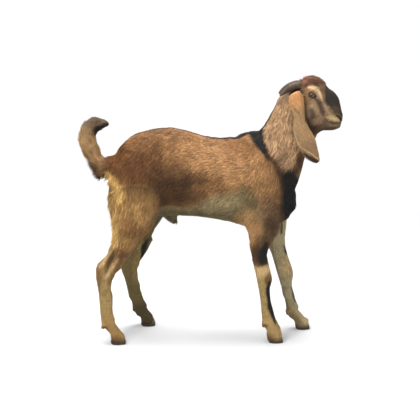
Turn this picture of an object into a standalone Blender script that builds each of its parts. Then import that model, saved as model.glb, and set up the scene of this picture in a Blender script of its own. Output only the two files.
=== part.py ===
"""A young male goat with long hanging ears, standing still, at life size.

Metres, +Z up. +X runs from tail to nose, +Y to the goat's left side. The soles stand on z = 0.
The flesh is lofted from a few named stations of each region, fused into one body, thinned to a
light mesh, and parted by flat cuts into head, neck, trunk, tail and four legs. Eyes, ears, horns,
hooves and dewclaws are separate solids set into pockets of the flesh.
"""

import math

import bmesh
import bpy
import numpy as np
from mathutils import Matrix, Vector

# ---------------------------------------------------------------- driving dimensions
GAP = 0.0003                 # between pieces that touch
VOXEL = 0.004                # of the fused flesh
FLESH_TRIANGLES = 12000      # of the fused flesh, before it is parted
PIECE_TRIANGLES = {          # of each piece of flesh, before its pockets are cut
    "head": 1350, "neck": 450, "trunk": 1750, "tail": 260, "leg": 550,
}
HEAD_PLAINNESS = 0.5         # 0 keeps all of the head's mesh, 1 thins it as the rest
THINNING_CARE = 0.004        # how strongly that is kept to
SOFTEN_ROUNDS = 5            # of smoothing, all over
BLEND_ROUNDS = 26            # more of it on the trunk and the roots of the legs
BLEND_HEIGHTS = (0.36, 0.48)     # over which the blending fades in
BLEND_FRONT = (0.30, 0.24)       # x over which it fades in behind the face
BLEND_REAR = -0.35               # x behind which the tail keeps its shape
RING = 28                    # points round a section of the flesh
SPAN = 5                     # sections between two stations

# Stations of the middle line: upper point x, z, lower point x, z, y, half width,
# egg (how much wider low than high) and squareness (2 is an ellipse).
TRUNK = (
    (-0.340, 0.648, -0.348, 0.565, 0, 0.036, 0.00, 2.2),
    (-0.314, 0.692, -0.325, 0.505, 0, 0.066, 0.05, 2.2),
    (-0.268, 0.733, -0.275, 0.474, 0, 0.084, 0.10, 2.2),
    (-0.205, 0.752, -0.210, 0.452, 0, 0.091, 0.10, 2.2),
    (-0.150, 0.759, -0.150, 0.448, 0, 0.095, 0.12, 2.1),
    (-0.085, 0.746, -0.090, 0.447, 0, 0.107, 0.14, 2.1),
    (-0.020, 0.727, -0.020, 0.442, 0, 0.117, 0.15, 2.1),
    (0.045, 0.719, 0.045, 0.431, 0, 0.118, 0.15, 2.1),
    (0.100, 0.727, 0.100, 0.413, 0, 0.110, 0.16, 2.1),
    (0.145, 0.747, 0.150, 0.402, 0, 0.102, 0.18, 2.1),
    (0.188, 0.742, 0.200, 0.402, 0, 0.096, 0.16, 2.1),
    (0.228, 0.700, 0.246, 0.418, 0, 0.086, 0.10, 2.1),
    (0.262, 0.640, 0.283, 0.446, 0, 0.064, 0.04, 2.0),
    (0.290, 0.585, 0.303, 0.490, 0, 0.034, 0.00, 2.0),
)
NECK = (
    (0.140, 0.725, 0.270, 0.490, 0, 0.076, 0.10, 2.0),
    (0.176, 0.752, 0.309, 0.560, 0, 0.070, 0.06, 2.0),
    (0.203, 0.788, 0.327, 0.628, 0, 0.062, 0.02, 2.0),
    (0.226, 0.831, 0.344, 0.688, 0, 0.056, 0.00, 2.0),
    (0.237, 0.862, 0.362, 0.732, 0, 0.053, 0.00, 2.0),
    (0.256, 0.883, 0.368, 0.762, 0, 0.050, 0.00, 2.0),
)
HEAD = (
    (0.256, 0.881, 0.300, 0.775, 0, 0.042, 0.00, 2.0),
    (0.287, 0.899, 0.330, 0.757, 0, 0.048, 0.00, 2.1),
    (0.324, 0.920, 0.360, 0.744, 0, 0.052, -0.05, 2.2),
    (0.362, 0.940, 0.378, 0.742, 0, 0.053, -0.10, 2.2),
    (0.392, 0.922, 0.393, 0.748, 0, 0.050, -0.14, 2.2),
    (0.415, 0.896, 0.404, 0.750, 0, 0.044, -0.12, 2.2),
    (0.436, 0.878, 0.416, 0.751, 0, 0.036, -0.05, 2.2),
    (0.451, 0.853, 0.430, 0.752, 0, 0.030, 0.02, 2.3),
    (0.459, 0.824, 0.443, 0.756, 0, 0.026, 0.04, 2.4),
    (0.461, 0.798, 0.452, 0.764, 0, 0.018, 0.00, 2.4),
)
TAIL = (
    (-0.335, 0.665, -0.345, 0.588, 0, 0.030, 0, 2.0),
    (-0.371, 0.655, -0.386, 0.582, 0, 0.029, 0, 2.0),
    (-0.386, 0.674, -0.419, 0.616, 0, 0.026, 0, 2.0),
    (-0.397, 0.701, -0.446, 0.669, 0, 0.024, 0, 2.0),
    (-0.402, 0.727, -0.462, 0.722, 0, 0.023, 0, 2.0),
    (-0.398, 0.745, -0.451, 0.765, 0, 0.021, 0, 2.0),
    (-0.387, 0.756, -0.421, 0.795, 0, 0.018, 0, 2.0),
    (-0.374, 0.762, -0.389, 0.795, 0, 0.014, 0, 2.0),
    (-0.361, 0.768, -0.364, 0.786, 0, 0.009, 0, 2.0),
)
SHEATH = (
    (-0.215, 0.500, -0.212, 0.446, 0, 0.020, 0, 2.0),
    (-0.175, 0.500, -0.172, 0.434, 0, 0.018, 0, 2.0),
    (-0.135, 0.480, -0.140, 0.419, 0, 0.015, 0, 2.0),
    (-0.112, 0.452, -0.121, 0.416, 0, 0.010, 0, 2.0),
)

# A leg is a path of joints, x, z and how far it stands out from the middle,
# with a girth at each joint: half depth forwards, half depth backwards, half width.
FORE_GIRTH = {
    "blade": (0.040, 0.055, 0.028),
    "shoulder": (0.055, 0.085, 0.034),
    "elbow": (0.064, 0.068, 0.035),
    "forearm": (0.031, 0.032, 0.024),
    "wrist": (0.0245, 0.0255, 0.0195),
    "knee": (0.0265, 0.0255, 0.0215),
    "below": (0.0185, 0.0185, 0.0160),
    "cannon": (0.0170, 0.0170, 0.0145),
    "fetlock": (0.0230, 0.0230, 0.0190),
    "pastern": (0.0225, 0.0230, 0.0190),
    "coronet": (0.0265, 0.0255, 0.0222),
    "sole": (0.0265, 0.0255, 0.0222),
}
HIND_GIRTH = {
    "croup": (0.055, 0.055, 0.030),
    "hip": (0.080, 0.088, 0.044),
    "thigh": (0.086, 0.094, 0.043),
    "stifle": (0.074, 0.078, 0.036),
    "calf": (0.046, 0.048, 0.030),
    "gaskin": (0.035, 0.036, 0.024),
    "tendon": (0.030, 0.032, 0.0195),
    "point": (0.029, 0.037, 0.0185),
    "hock": (0.0285, 0.0310, 0.0205),
    "below": (0.0250, 0.0250, 0.0180),
    "cannon": (0.0205, 0.0205, 0.0148),
    "shin": (0.0205, 0.0205, 0.0145),
    "fetlock": (0.0225, 0.0225, 0.0185),
    "pastern": (0.0195, 0.0200, 0.0172),
    "coronet": (0.0245, 0.0240, 0.0210),
    "sole": (0.0245, 0.0240, 0.0210),
}
LEGS = {
    "leg_front_right": (-1, FORE_GIRTH, {
        "blade": (0.185, 0.650, 0.048), "shoulder": (0.205, 0.560, 0.060),
        "elbow": (0.191, 0.425, 0.070),
        "forearm": (0.173, 0.338, 0.074), "wrist": (0.183, 0.280, 0.075),
        "knee": (0.194, 0.230, 0.076), "below": (0.194, 0.196, 0.077),
        "cannon": (0.199, 0.150, 0.078), "fetlock": (0.213, 0.074, 0.080),
        "pastern": (0.225, 0.049, 0.081), "coronet": (0.231, 0.024, 0.082),
        "sole": (0.235, -0.010, 0.082)}),
    "leg_front_left": (1, FORE_GIRTH, {
        "blade": (0.185, 0.650, 0.048), "shoulder": (0.205, 0.560, 0.060),
        "elbow": (0.212, 0.425, 0.070),
        "forearm": (0.239, 0.330, 0.074), "wrist": (0.256, 0.274, 0.075),
        "knee": (0.275, 0.214, 0.076), "below": (0.279, 0.176, 0.077),
        "cannon": (0.287, 0.134, 0.078), "fetlock": (0.307, 0.070, 0.080),
        "pastern": (0.327, 0.046, 0.081), "coronet": (0.338, 0.024, 0.082),
        "sole": (0.345, -0.010, 0.082)}),
    "leg_hind_right": (-1, HIND_GIRTH, {
        "croup": (-0.245, 0.690, 0.038),
        "hip": (-0.256, 0.600, 0.050), "thigh": (-0.263, 0.508, 0.064),
        "stifle": (-0.270, 0.440, 0.080), "calf": (-0.292, 0.388, 0.088),
        "gaskin": (-0.312, 0.338, 0.091), "tendon": (-0.339, 0.300, 0.092),
        "point": (-0.364, 0.270, 0.092), "hock": (-0.371, 0.241, 0.093),
        "below": (-0.372, 0.210, 0.094), "cannon": (-0.369, 0.165, 0.096),
        "shin": (-0.366, 0.117, 0.098), "fetlock": (-0.357, 0.072, 0.099),
        "pastern": (-0.338, 0.047, 0.100), "coronet": (-0.328, 0.024, 0.100),
        "sole": (-0.322, -0.010, 0.100)}),
    "leg_hind_left": (1, HIND_GIRTH, {
        "croup": (-0.240, 0.690, 0.038),
        "hip": (-0.245, 0.600, 0.050), "thigh": (-0.242, 0.505, 0.064),
        "stifle": (-0.236, 0.440, 0.082), "calf": (-0.244, 0.386, 0.094),
        "gaskin": (-0.256, 0.338, 0.100), "tendon": (-0.270, 0.298, 0.104),
        "point": (-0.291, 0.258, 0.107), "hock": (-0.296, 0.222, 0.110),
        "below": (-0.290, 0.189, 0.113), "cannon": (-0.282, 0.148, 0.116),
        "shin": (-0.272, 0.104, 0.119), "fetlock": (-0.258, 0.066, 0.121),
        "pastern": (-0.242, 0.045, 0.122), "coronet": (-0.232, 0.024, 0.122),
        "sole": (-0.226, -0.010, 0.122)}),
}

# Forms that stand out of the lofts: centre x, z, distance from the middle, half sizes along
# its own length, width and height, and the tilt of its length below the level.
PAIRED_FORMS = {
    "brow": (0.357, 0.893, 0.040, 0.024, 0.013, 0.013, 12),
    "lip": (0.440, 0.789, 0.014, 0.021, 0.013, 0.014, 15),
    "nose_wing": (0.450, 0.808, 0.011, 0.011, 0.009, 0.013, 60),
    "horn_base": (0.326, 0.912, 0.025, 0.020, 0.015, 0.017, -10),
}
MIDDLE_FORMS = {
    "brisket": (0.262, 0.474, 0, 0.040, 0.050, 0.050, 35),
    "forelock": (0.362, 0.920, 0, 0.042, 0.036, 0.020, 18),
    "chin": (0.441, 0.768, 0, 0.018, 0.017, 0.014, 0),
    "withers": (0.152, 0.722, 0, 0.060, 0.022, 0.024, 0),
}

# Muscles, bones and hollows, pushed out of the smooth flesh or into it: centre x, z, distance
# from the middle, how far it spreads along x, y and z, and its height.
SWELLS = {
    "shoulder_blade": (0.176, 0.640, 0.085, 0.050, 0.060, 0.075, 0.006),
    "point_of_shoulder": (0.262, 0.520, 0.070, 0.035, 0.050, 0.035, 0.006),
    "triceps": (0.150, 0.480, 0.095, 0.045, 0.050, 0.050, 0.007),
    "ribs": (0.030, 0.590, 0.115, 0.100, 0.080, 0.080, 0.003),
    "flank_hollow": (-0.115, 0.640, 0.100, 0.045, 0.060, 0.050, -0.010),
    "hip_bone": (-0.165, 0.722, 0.060, 0.024, 0.030, 0.020, 0.008),
    "rump": (-0.240, 0.640, 0.095, 0.060, 0.060, 0.060, 0.008),
    "thigh": (-0.262, 0.530, 0.105, 0.065, 0.060, 0.070, 0.012),
    "thigh_hollow": (-0.185, 0.520, 0.105, 0.030, 0.060, 0.050, -0.006),
    "cheek": (0.352, 0.795, 0.048, 0.024, 0.030, 0.035, 0.005),
    "under_eye": (0.382, 0.842, 0.045, 0.020, 0.030, 0.016, -0.004),
    "throat_groove": (0.262, 0.700, 0.055, 0.030, 0.040, 0.090, -0.004),
    "muzzle_side": (0.425, 0.810, 0.028, 0.020, 0.020, 0.020, -0.003),
}

EYE = (0.3565, 0.8785, 0.0405)       # x, z and distance from the middle of its centre
EYE_RADIUS = 0.0145

# Horn: x, z, distance from the middle, half thickness; the first station is in the skull.
HORN = (
    (0.336, 0.902, 0.021, 0.0125),
    (0.318, 0.909, 0.023, 0.0140),
    (0.298, 0.909, 0.026, 0.0132),
    (0.278, 0.902, 0.029, 0.0115),
    (0.260, 0.891, 0.031, 0.0090),
    (0.248, 0.881, 0.032, 0.0062),
    (0.242, 0.875, 0.032, 0.0028),
)

# Ear: centre x, z, distance from the middle, half width, half thickness, how far its middle
# stands out beyond its margins, and the turn from lying out of the skull (0) to hanging (90).
EAR = (
    (0.313, 0.885, 0.040, 0.0130, 0.0110, 0.000, 0),
    (0.311, 0.886, 0.055, 0.0165, 0.0110, 0.000, 15),
    (0.300, 0.883, 0.066, 0.0245, 0.0100, 0.003, 45),
    (0.297, 0.864, 0.0735, 0.0275, 0.0075, 0.007, 75),
    (0.302, 0.838, 0.0765, 0.0255, 0.0045, 0.010, 88),
    (0.308, 0.806, 0.0765, 0.0235, 0.0032, 0.011, 90),
    (0.312, 0.775, 0.0770, 0.0260, 0.0028, 0.011, 90),
    (0.322, 0.745, 0.0785, 0.0315, 0.0026, 0.010, 92),
    (0.334, 0.717, 0.0800, 0.0340, 0.0026, 0.009, 92),
    (0.344, 0.693, 0.0820, 0.0305, 0.0026, 0.008, 92),
    (0.355, 0.673, 0.0835, 0.0240, 0.0025, 0.006, 92),
    (0.366, 0.658, 0.0840, 0.0150, 0.0022, 0.003, 92),
    (0.374, 0.650, 0.0840, 0.0055, 0.0018, 0.001, 92),
)
EAR_LEAN = 28                # degrees that the blade's lower end turns forwards
EAR_POINTS = 4               # steps across the blade

EAR_ROOT_ROWS = 6            # rows of the ear that lie in its pocket

HORN_FLATNESS = 0.86         # width of a horn's section for its height
HORN_POINTS = 10

CLAW_LENGTH = 0.052
CLAW_WIDTH = 0.0225
CLAW_CLEFT = 0.0016          # between the two claws of a foot
CLAW_INNER = 0.72            # how far the flat inner wall stands from a claw's middle
CLAW_TOE_TAPER = 0.45
CLAW_SLOPE = 0.006           # that the coronet lies behind the sole
CLAW_FORWARDS = 0.005        # of the middle of the sole, from the coronet joint
CLAW_HEIGHT_AT_TOE = 0.030
CLAW_HEIGHT_AT_HEEL = 0.010
CLAW_LEVELS = ((0, 0.92), (0.28, 1.0), (1, 0.88))   # level from sole to coronet, length there
CLAW_POINTS = 12
DEWCLAW_HEIGHT = 0.066
DEWCLAW_SPREAD = 0.0115      # of each dewclaw from the middle of its leg
DEWCLAW_PAD = 0.0105         # radius of the flesh that holds it
DEWCLAW_PAD_PLACE = Vector((0.004, 0, 0.005))
DEWCLAW_ROWS = ((-0.008, 0.0045), (-0.002, 0.0060), (0.005, 0.0056), (0.010, 0.0030))
DEWCLAW_AXIS = Vector((-0.75, 0, -0.66))
DEWCLAW_POINTS = 6

# Flat cuts, each a point x, z and the direction x, z that it faces.
HEAD_CUT = ((0.290, 0.800), (0.72, 0.69))
NECK_CUT = ((0.165, 0.745), (0.867, 0.498))
TAIL_CUT = ((-0.366, 0.575), (-0.998, 0.062))
TAIL_FLOOR = 0.560
FLANK_CUT = ((-0.152, 0.430), (-1, 0))
ARMPIT_CUT = ((0.112, 0.420), (1, 0))
LEG_ROOF = {"front": (0.445, 1.0), "hind": (0.475, 1.2)}   # height at the inner cut, rise
LEG_INNER = 0.020            # the strip between the legs that stays with the trunk

COLOURS = {
    "coat": (0.30, 0.16, 0.075), "buff": (0.42, 0.27, 0.13), "cream": (0.52, 0.40, 0.24),
    "dark": (0.045, 0.032, 0.024), "ear": (0.46, 0.27, 0.14), "horn": (0.20, 0.16, 0.13),
    "hoof": (0.10, 0.075, 0.045), "eye": (0.16, 0.14, 0.11),
}


# ---------------------------------------------------------------- scene and materials
def clear_scene():
    for obj in list(bpy.data.objects):
        bpy.data.objects.remove(obj)


def new_collection(name):
    collection = bpy.data.collections.new(name)
    bpy.context.scene.collection.children.link(collection)
    return collection


def material(name, colour, roughness):
    found = bpy.data.materials.new(name)
    found.use_nodes = True
    shader = found.node_tree.nodes["Principled BSDF"]
    shader.inputs["Base Color"].default_value = (*colour, 1)
    shader.inputs["Roughness"].default_value = roughness
    found.diffuse_color = (*colour, 1)
    return found


def add_object(name, mesh, collection):
    obj = bpy.data.objects.new(name, mesh)
    collection.objects.link(obj)
    return obj


def mesh_from(name, bm):
    bmesh.ops.recalc_face_normals(bm, faces=bm.faces)
    mesh = bpy.data.meshes.new(name)
    bm.to_mesh(mesh)
    bm.free()
    return mesh


def bake_modifiers(obj):
    """Replaces the object's mesh by what its modifiers make of it."""
    graph = bpy.context.evaluated_depsgraph_get()
    mesh = bpy.data.meshes.new_from_object(obj.evaluated_get(graph))
    obj.modifiers.clear()
    old = obj.data
    obj.data = mesh
    bpy.data.meshes.remove(old)


# ---------------------------------------------------------------- lofts
def through(rows, steps):
    """Rows of a smooth curve that passes through the given rows, with steps to each span."""
    rows = np.array(rows, float)
    ends = np.vstack([2 * rows[0] - rows[1], rows, 2 * rows[-1] - rows[-2]])
    made = []
    for i in range(1, len(ends) - 2):
        before, start, stop, after = ends[i - 1:i + 3]
        for t in np.linspace(0, 1, steps, endpoint=False):
            made.append(0.5 * (2 * start + (stop - before) * t
                               + (2 * before - 5 * start + 4 * stop - after) * t ** 2
                               + (3 * start - before - 3 * stop + after) * t ** 3))
    made.append(rows[-1])
    return made


def section(row):
    """Points round one station, from its upper point over the left side to its lower point."""
    upper_x, upper_z, lower_x, lower_z, y, half_width, egg, square = row
    middle = Vector(((upper_x + lower_x) / 2, y, (upper_z + lower_z) / 2))
    rise = Vector((upper_x, y, upper_z)) - middle
    points = []
    for i in range(RING):
        angle = 2 * math.pi * i / RING
        up, out = math.cos(angle), math.sin(angle)
        up = math.copysign(abs(up) ** (2 / square), up)
        out = math.copysign(abs(out) ** (2 / square), out)
        points.append(middle + rise * up + Vector((0, half_width * out * (1 - egg * up), 0)))
    return points


def add_tube(bm, rings):
    """Closes a row of rings of equal length into one body."""
    rows = [[bm.verts.new(point) for point in ring] for ring in rings]
    count = len(rows[0])
    for low, high in zip(rows, rows[1:]):
        for i in range(count):
            j = (i + 1) % count
            bm.faces.new((low[i], low[j], high[j], high[i]))
    bm.faces.new(rows[0])
    bm.faces.new(rows[-1][::-1])


def add_loft(bm, stations):
    add_tube(bm, [section(row) for row in through(stations, SPAN)])


def leg_stations(side, girths, joints):
    """The stations of a leg, each square to the leg's path through its joints."""
    names = list(joints)
    places = [Vector((joints[name][0], joints[name][1])) for name in names]
    stations = []
    for i, name in enumerate(names):
        along = (places[min(i + 1, len(names) - 1)] - places[max(i - 1, 0)]).normalized()
        forwards = Vector((-along.y, along.x))
        front, back, half_width = girths[name]
        upper = places[i] + forwards * front
        lower = places[i] - forwards * back
        stations.append((upper.x, upper.y, lower.x, lower.y, side * joints[name][2],
                         half_width, 0, 2.1))
    return stations


def add_form(bm, form, side):
    x, z, out, length, width, height, tilt = form
    place = (Matrix.Translation((x, side * out, z)) @ Matrix.Rotation(math.radians(tilt), 4, "Y")
             @ Matrix.Diagonal((length, width, height, 1)))
    bmesh.ops.create_uvsphere(bm, u_segments=24, v_segments=16, radius=1, matrix=place)


def dewclaw_places(leg):
    """Where a leg's two dewclaws stand, behind the fetlock."""
    side, girths, joints = LEGS[leg]
    x, _, out = joints["fetlock"]
    back = girths["fetlock"][1]
    return [Vector((x - back, side * out + turn * DEWCLAW_SPREAD, DEWCLAW_HEIGHT))
            for turn in (-1, 1)]


# ---------------------------------------------------------------- the flesh
def ramp(value, start, stop):
    """0 up to start, 1 from stop on, and even between them."""
    return min(1, max(0, (value - start) / (stop - start)))


def make_flesh(collection):
    """The whole of the flesh as one closed, smooth body."""
    bm = bmesh.new()
    for stations in (TRUNK, NECK, HEAD, TAIL, SHEATH):
        add_loft(bm, stations)
    for name, (side, girths, joints) in LEGS.items():
        add_loft(bm, leg_stations(side, girths, joints))
        for place in dewclaw_places(name):
            bmesh.ops.create_uvsphere(bm, u_segments=16, v_segments=8, radius=DEWCLAW_PAD,
                                      matrix=Matrix.Translation(place + DEWCLAW_PAD_PLACE))
    for form in PAIRED_FORMS.values():
        for side in (-1, 1):
            add_form(bm, form, side)
    for form in MIDDLE_FORMS.values():
        add_form(bm, form, 0)
    flesh = add_object("flesh", mesh_from("flesh", bm), collection)
    fuse = flesh.modifiers.new("fuse", "REMESH")
    fuse.mode = "VOXEL"
    fuse.voxel_size = VOXEL
    bake_modifiers(flesh)
    broad = flesh.vertex_groups.new(name="broad")
    plain = flesh.vertex_groups.new(name="plain")
    point, facing = plane(HEAD_CUT)
    for vertex in flesh.data.vertices:
        x, _, z = vertex.co
        on_body = ramp(z, *BLEND_HEIGHTS) * ramp(x, *BLEND_FRONT) * (x > BLEND_REAR)
        broad.add([vertex.index], on_body, "REPLACE")
        on_head = ramp((vertex.co - point).dot(facing), -0.007, 0.013)
        plain.add([vertex.index], 1 - (1 - HEAD_PLAINNESS) * on_head, "REPLACE")
    soften(flesh, "soften", SOFTEN_ROUNDS, "")
    soften(flesh, "blend", BLEND_ROUNDS, "broad")
    bake_modifiers(flesh)
    swell(flesh.data)
    return flesh


def swell(mesh):
    """Pushes muscles and bones out of the flesh, and hollows into it, on both sides."""
    count = len(mesh.vertices)
    places, normals = np.empty(count * 3), np.empty(count * 3)
    mesh.vertices.foreach_get("co", places)
    mesh.vertices.foreach_get("normal", normals)
    places, normals = places.reshape(-1, 3), normals.reshape(-1, 3)
    folded = np.abs(places) * (0, 1, 0) + places * (1, 0, 1)
    height = np.zeros(count)
    for x, z, out, along, across, up, rise in SWELLS.values():
        far = ((folded - (x, out, z)) / (along, across, up)) ** 2
        height += rise * np.exp(-far.sum(axis=1))
    mesh.vertices.foreach_set("co", (places + normals * height[:, None]).ravel())
    mesh.update()


def soften(obj, name, rounds, group):
    modifier = obj.modifiers.new(name, "SMOOTH")
    modifier.factor = 0.5
    modifier.iterations = rounds
    modifier.vertex_group = group


def thin(flesh, triangles):
    """Takes the mesh down to its triangle budget, keeping more of it on the head."""
    modifier = flesh.modifiers.new("thin", "DECIMATE")
    modifier.ratio = triangles / sum(len(face.vertices) - 2 for face in flesh.data.polygons)
    modifier.use_collapse_triangulate = True
    modifier.vertex_group = "plain"
    modifier.vertex_group_factor = THINNING_CARE
    bake_modifiers(flesh)


# ---------------------------------------------------------------- flat cuts
def plane(cut, shift=0.0):
    """A cut's point and facing in space, moved by shift the way it faces."""
    (x, z), (way_x, way_z) = cut
    facing = Vector((way_x, 0, way_z)).normalized()
    return Vector((x, 0, z)) + facing * shift, facing


def cell(name, planes, collection):
    """A convex cutter: what lies on the far side of every plane, the way that each faces."""
    bm = bmesh.new()
    bmesh.ops.create_cube(bm, size=4)
    for point, facing in planes:
        everything = bm.verts[:] + bm.edges[:] + bm.faces[:]
        bmesh.ops.bisect_plane(bm, geom=everything, plane_co=point, plane_no=facing,
                               clear_inner=True)
        rim = [edge for edge in bm.edges if edge.is_boundary]
        bmesh.ops.holes_fill(bm, edges=rim, sides=0)
    cutter = add_object(name, mesh_from(name, bm), collection)
    cutter.hide_render = True
    cutter.display_type = "WIRE"
    return cutter


def combine(obj, cutter, operation):
    modifier = obj.modifiers.new(cutter.name, "BOOLEAN")
    modifier.object = cutter
    modifier.operation = operation
    modifier.solver = "EXACT"
    bake_modifiers(obj)


def part_off(body, name, planes_at, parts, cutters):
    """Takes the piece inside a cell from the body, with the gap between them."""
    piece = add_object(name, body.data.copy(), parts)
    combine(piece, cell(name + "_cell", planes_at(GAP / 2), cutters), "INTERSECT")
    combine(body, cell(name + "_rest", planes_at(-GAP / 2), cutters), "DIFFERENCE")
    return piece


def leg_planes(name):
    """The cuts that part a leg from the trunk: a sloping roof, a cut across and an inner wall."""
    side = LEGS[name][0]
    height, rise = LEG_ROOF["front" if "front" in name else "hind"]
    across = ARMPIT_CUT if "front" in name else FLANK_CUT

    def planes_at(shift):
        facing = Vector((0, side * rise, -1)).normalized()
        roof = Vector((0, side * LEG_INNER, height)) + facing * shift
        wall = Vector((0, side * (LEG_INNER + shift), 0))
        return [(roof, facing), (wall, Vector((0, side, 0))), plane(across, shift)]

    return planes_at


def tail_planes(shift):
    floor = Vector((0, 0, TAIL_FLOOR + shift))
    return [plane(TAIL_CUT, shift), (floor, Vector((0, 0, 1)))]


def coronet_plane(name, shift):
    """The slanting top of a foot's claws; it faces up the leg."""
    _, _, joints = LEGS[name]
    slope = (CLAW_HEIGHT_AT_TOE - CLAW_HEIGHT_AT_HEEL) / CLAW_LENGTH
    facing = Vector((-slope, 0, 1)).normalized()
    middle = Vector((joints["coronet"][0], 0, (CLAW_HEIGHT_AT_TOE + CLAW_HEIGHT_AT_HEEL) / 2))
    return middle + facing * shift, facing


# ---------------------------------------------------------------- separate pieces
def make_eye(side, grow):
    x, z, out = EYE
    bm = bmesh.new()
    bmesh.ops.create_uvsphere(bm, u_segments=12, v_segments=8, radius=EYE_RADIUS + grow,
                              matrix=Matrix.Translation((x, side * out, z)))
    return mesh_from("eye", bm)


def make_horn(side, grow):
    """A tapered, backswept horn with an oval section."""
    rings = []
    rows = through(HORN, 2)
    angles = np.linspace(0, 2 * math.pi, HORN_POINTS, endpoint=False)
    for i, (x, z, out, thick) in enumerate(rows):
        before = Vector(rows[max(i - 1, 0)][:3])
        after = Vector(rows[min(i + 1, len(rows) - 1)][:3])
        along = after - before
        along = Vector((along.x, side * along.z, along.y)).normalized()
        across = along.cross(Vector((0, 0, 1))).normalized()
        up = across.cross(along)
        centre = Vector((x, side * out, z)) - along * (grow if i == 0 else 0)
        width, height = HORN_FLATNESS * thick + grow, thick + grow
        rings.append([centre + across * width * math.cos(angle) + up * height * math.sin(angle)
                      for angle in angles])
    bm = bmesh.new()
    add_tube(bm, rings)
    return mesh_from("horn", bm)


def make_ear(side, grow):
    """A long hanging ear: an oval root that opens into a curved blade."""
    rows = through(EAR, 2)
    if grow:
        rows = rows[:EAR_ROOT_ROWS]
    rings = []
    for i, (x, z, out, half, thick, bulge, turn) in enumerate(rows):
        turn = math.radians(turn)
        lean = math.radians(EAR_LEAN) * min(1, max(0, (0.80 - z) / 0.10))
        across = Vector((math.cos(lean), 0, math.sin(lean)))
        outwards = Vector((0, side * math.sin(turn), math.cos(turn)))
        along = Vector((0, side * math.cos(turn), -math.sin(turn)))
        centre = Vector((x, side * out, z)) - along * (grow if i == 0 else 0)
        ring = []
        for sign in (1, -1):
            for step in range(EAR_POINTS + 1):
                u = sign * (2 * step / EAR_POINTS - 1)
                shell = (thick * (0.4 + 0.6 * math.sqrt(1 - u * u)) + grow) * sign
                ring.append(centre + across * u * (half + grow)
                            + outwards * (bulge * (1 - u * u) - bulge + shell))
        rings.append(ring)
    bm = bmesh.new()
    add_tube(bm, rings)
    return mesh_from("ear", bm)


def claw_ring(level, length, top):
    """One level of a claw, from sole (0) to coronet (1); x runs to the toe, y away from the cleft."""
    ring = []
    for i in range(CLAW_POINTS):
        angle = 2 * math.pi * i / CLAW_POINTS
        x = math.cos(angle) * CLAW_LENGTH / 2 * length - CLAW_SLOPE * level
        taper = 1 - CLAW_TOE_TAPER * max(0, math.cos(angle)) ** 2
        y = CLAW_WIDTH / 2 * taper * max(math.sin(angle), -CLAW_INNER)
        ring.append(Vector((x, y + CLAW_WIDTH / 2 * CLAW_INNER + CLAW_CLEFT / 2, top(x) * level)))
    return ring


def make_claw(name, which):
    """One claw of a foot: a flat sole, a sloping toe wall and a slanting top."""
    side, _, joints = LEGS[name]
    point, facing = coronet_plane(name, -GAP / 2)
    foot_x = joints["coronet"][0] + CLAW_FORWARDS
    foot_y = side * joints["coronet"][2]

    def top(x):
        return point.z - (foot_x + x - point.x) * facing.x / facing.z

    bm = bmesh.new()
    rings = []
    for level, length in CLAW_LEVELS:
        rings.append([Vector((foot_x + p.x, foot_y + which * p.y, p.z))
                      for p in claw_ring(level, length, top)])
    add_tube(bm, rings)
    return mesh_from("claw", bm)


def make_dewclaw(place, grow):
    """A blunt horny bud that points down and back."""
    axis = DEWCLAW_AXIS.normalized()
    across = Vector((0, 1, 0))
    up = across.cross(axis)
    rings = []
    for i, (along, radius) in enumerate(DEWCLAW_ROWS):
        centre = place + axis * (along - (grow if i == 0 else 0))
        rings.append([centre + (across * math.cos(angle) + up * math.sin(angle)) * (radius + grow)
                      for angle in np.linspace(0, 2 * math.pi, DEWCLAW_POINTS, endpoint=False)])
    bm = bmesh.new()
    add_tube(bm, rings)
    return mesh_from("dewclaw", bm)


def set_in(flesh_piece, name, make, parts, cutters):
    """Adds a separate solid and cuts its pocket out of the flesh that holds it."""
    piece = add_object(name, make(0), parts)
    pocket = add_object(name + "_pocket", make(GAP), cutters)
    pocket.hide_render = True
    pocket.display_type = "WIRE"
    combine(flesh_piece, pocket, "DIFFERENCE")
    return piece


# ---------------------------------------------------------------- assembly
def make_goat():
    clear_scene()
    parts = new_collection("goat")
    cutters = new_collection("cutters")
    body = make_flesh(parts)
    thin(body, FLESH_TRIANGLES)
    pieces = {}
    for name in LEGS:
        pieces[name] = part_off(body, name, leg_planes(name), parts, cutters)
        foot = cell(name + "_foot", [coronet_plane(name, GAP / 2)], cutters)
        combine(pieces[name], foot, "INTERSECT")
    pieces["tail"] = part_off(body, "tail", tail_planes, parts, cutters)
    pieces["head"] = part_off(body, "head", lambda shift: [plane(HEAD_CUT, shift)], parts, cutters)
    pieces["neck"] = part_off(body, "neck", lambda shift: [plane(NECK_CUT, shift)], parts, cutters)
    body.name = "trunk"
    pieces["trunk"] = body
    for name, piece in pieces.items():
        thin(piece, PIECE_TRIANGLES[name.split("_")[0]])

    for name in LEGS:
        for number, place in enumerate(dewclaw_places(name)):
            claw_name = f"dewclaw_{name[4:]}_{number + 1}"
            pieces[claw_name] = set_in(pieces[name], claw_name,
                                       lambda grow: make_dewclaw(place, grow), parts, cutters)
        for number, which in enumerate((-1, 1)):
            claw_name = f"hoof_{name[4:]}_{number + 1}"
            pieces[claw_name] = add_object(claw_name, make_claw(name, which), parts)
    for label, side in (("right", -1), ("left", 1)):
        for name, make in (("eye", make_eye), ("horn", make_horn), ("ear", make_ear)):
            pieces[f"{name}_{label}"] = set_in(
                pieces["head"], f"{name}_{label}", lambda grow: make(side, grow), parts, cutters)
    return pieces


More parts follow.
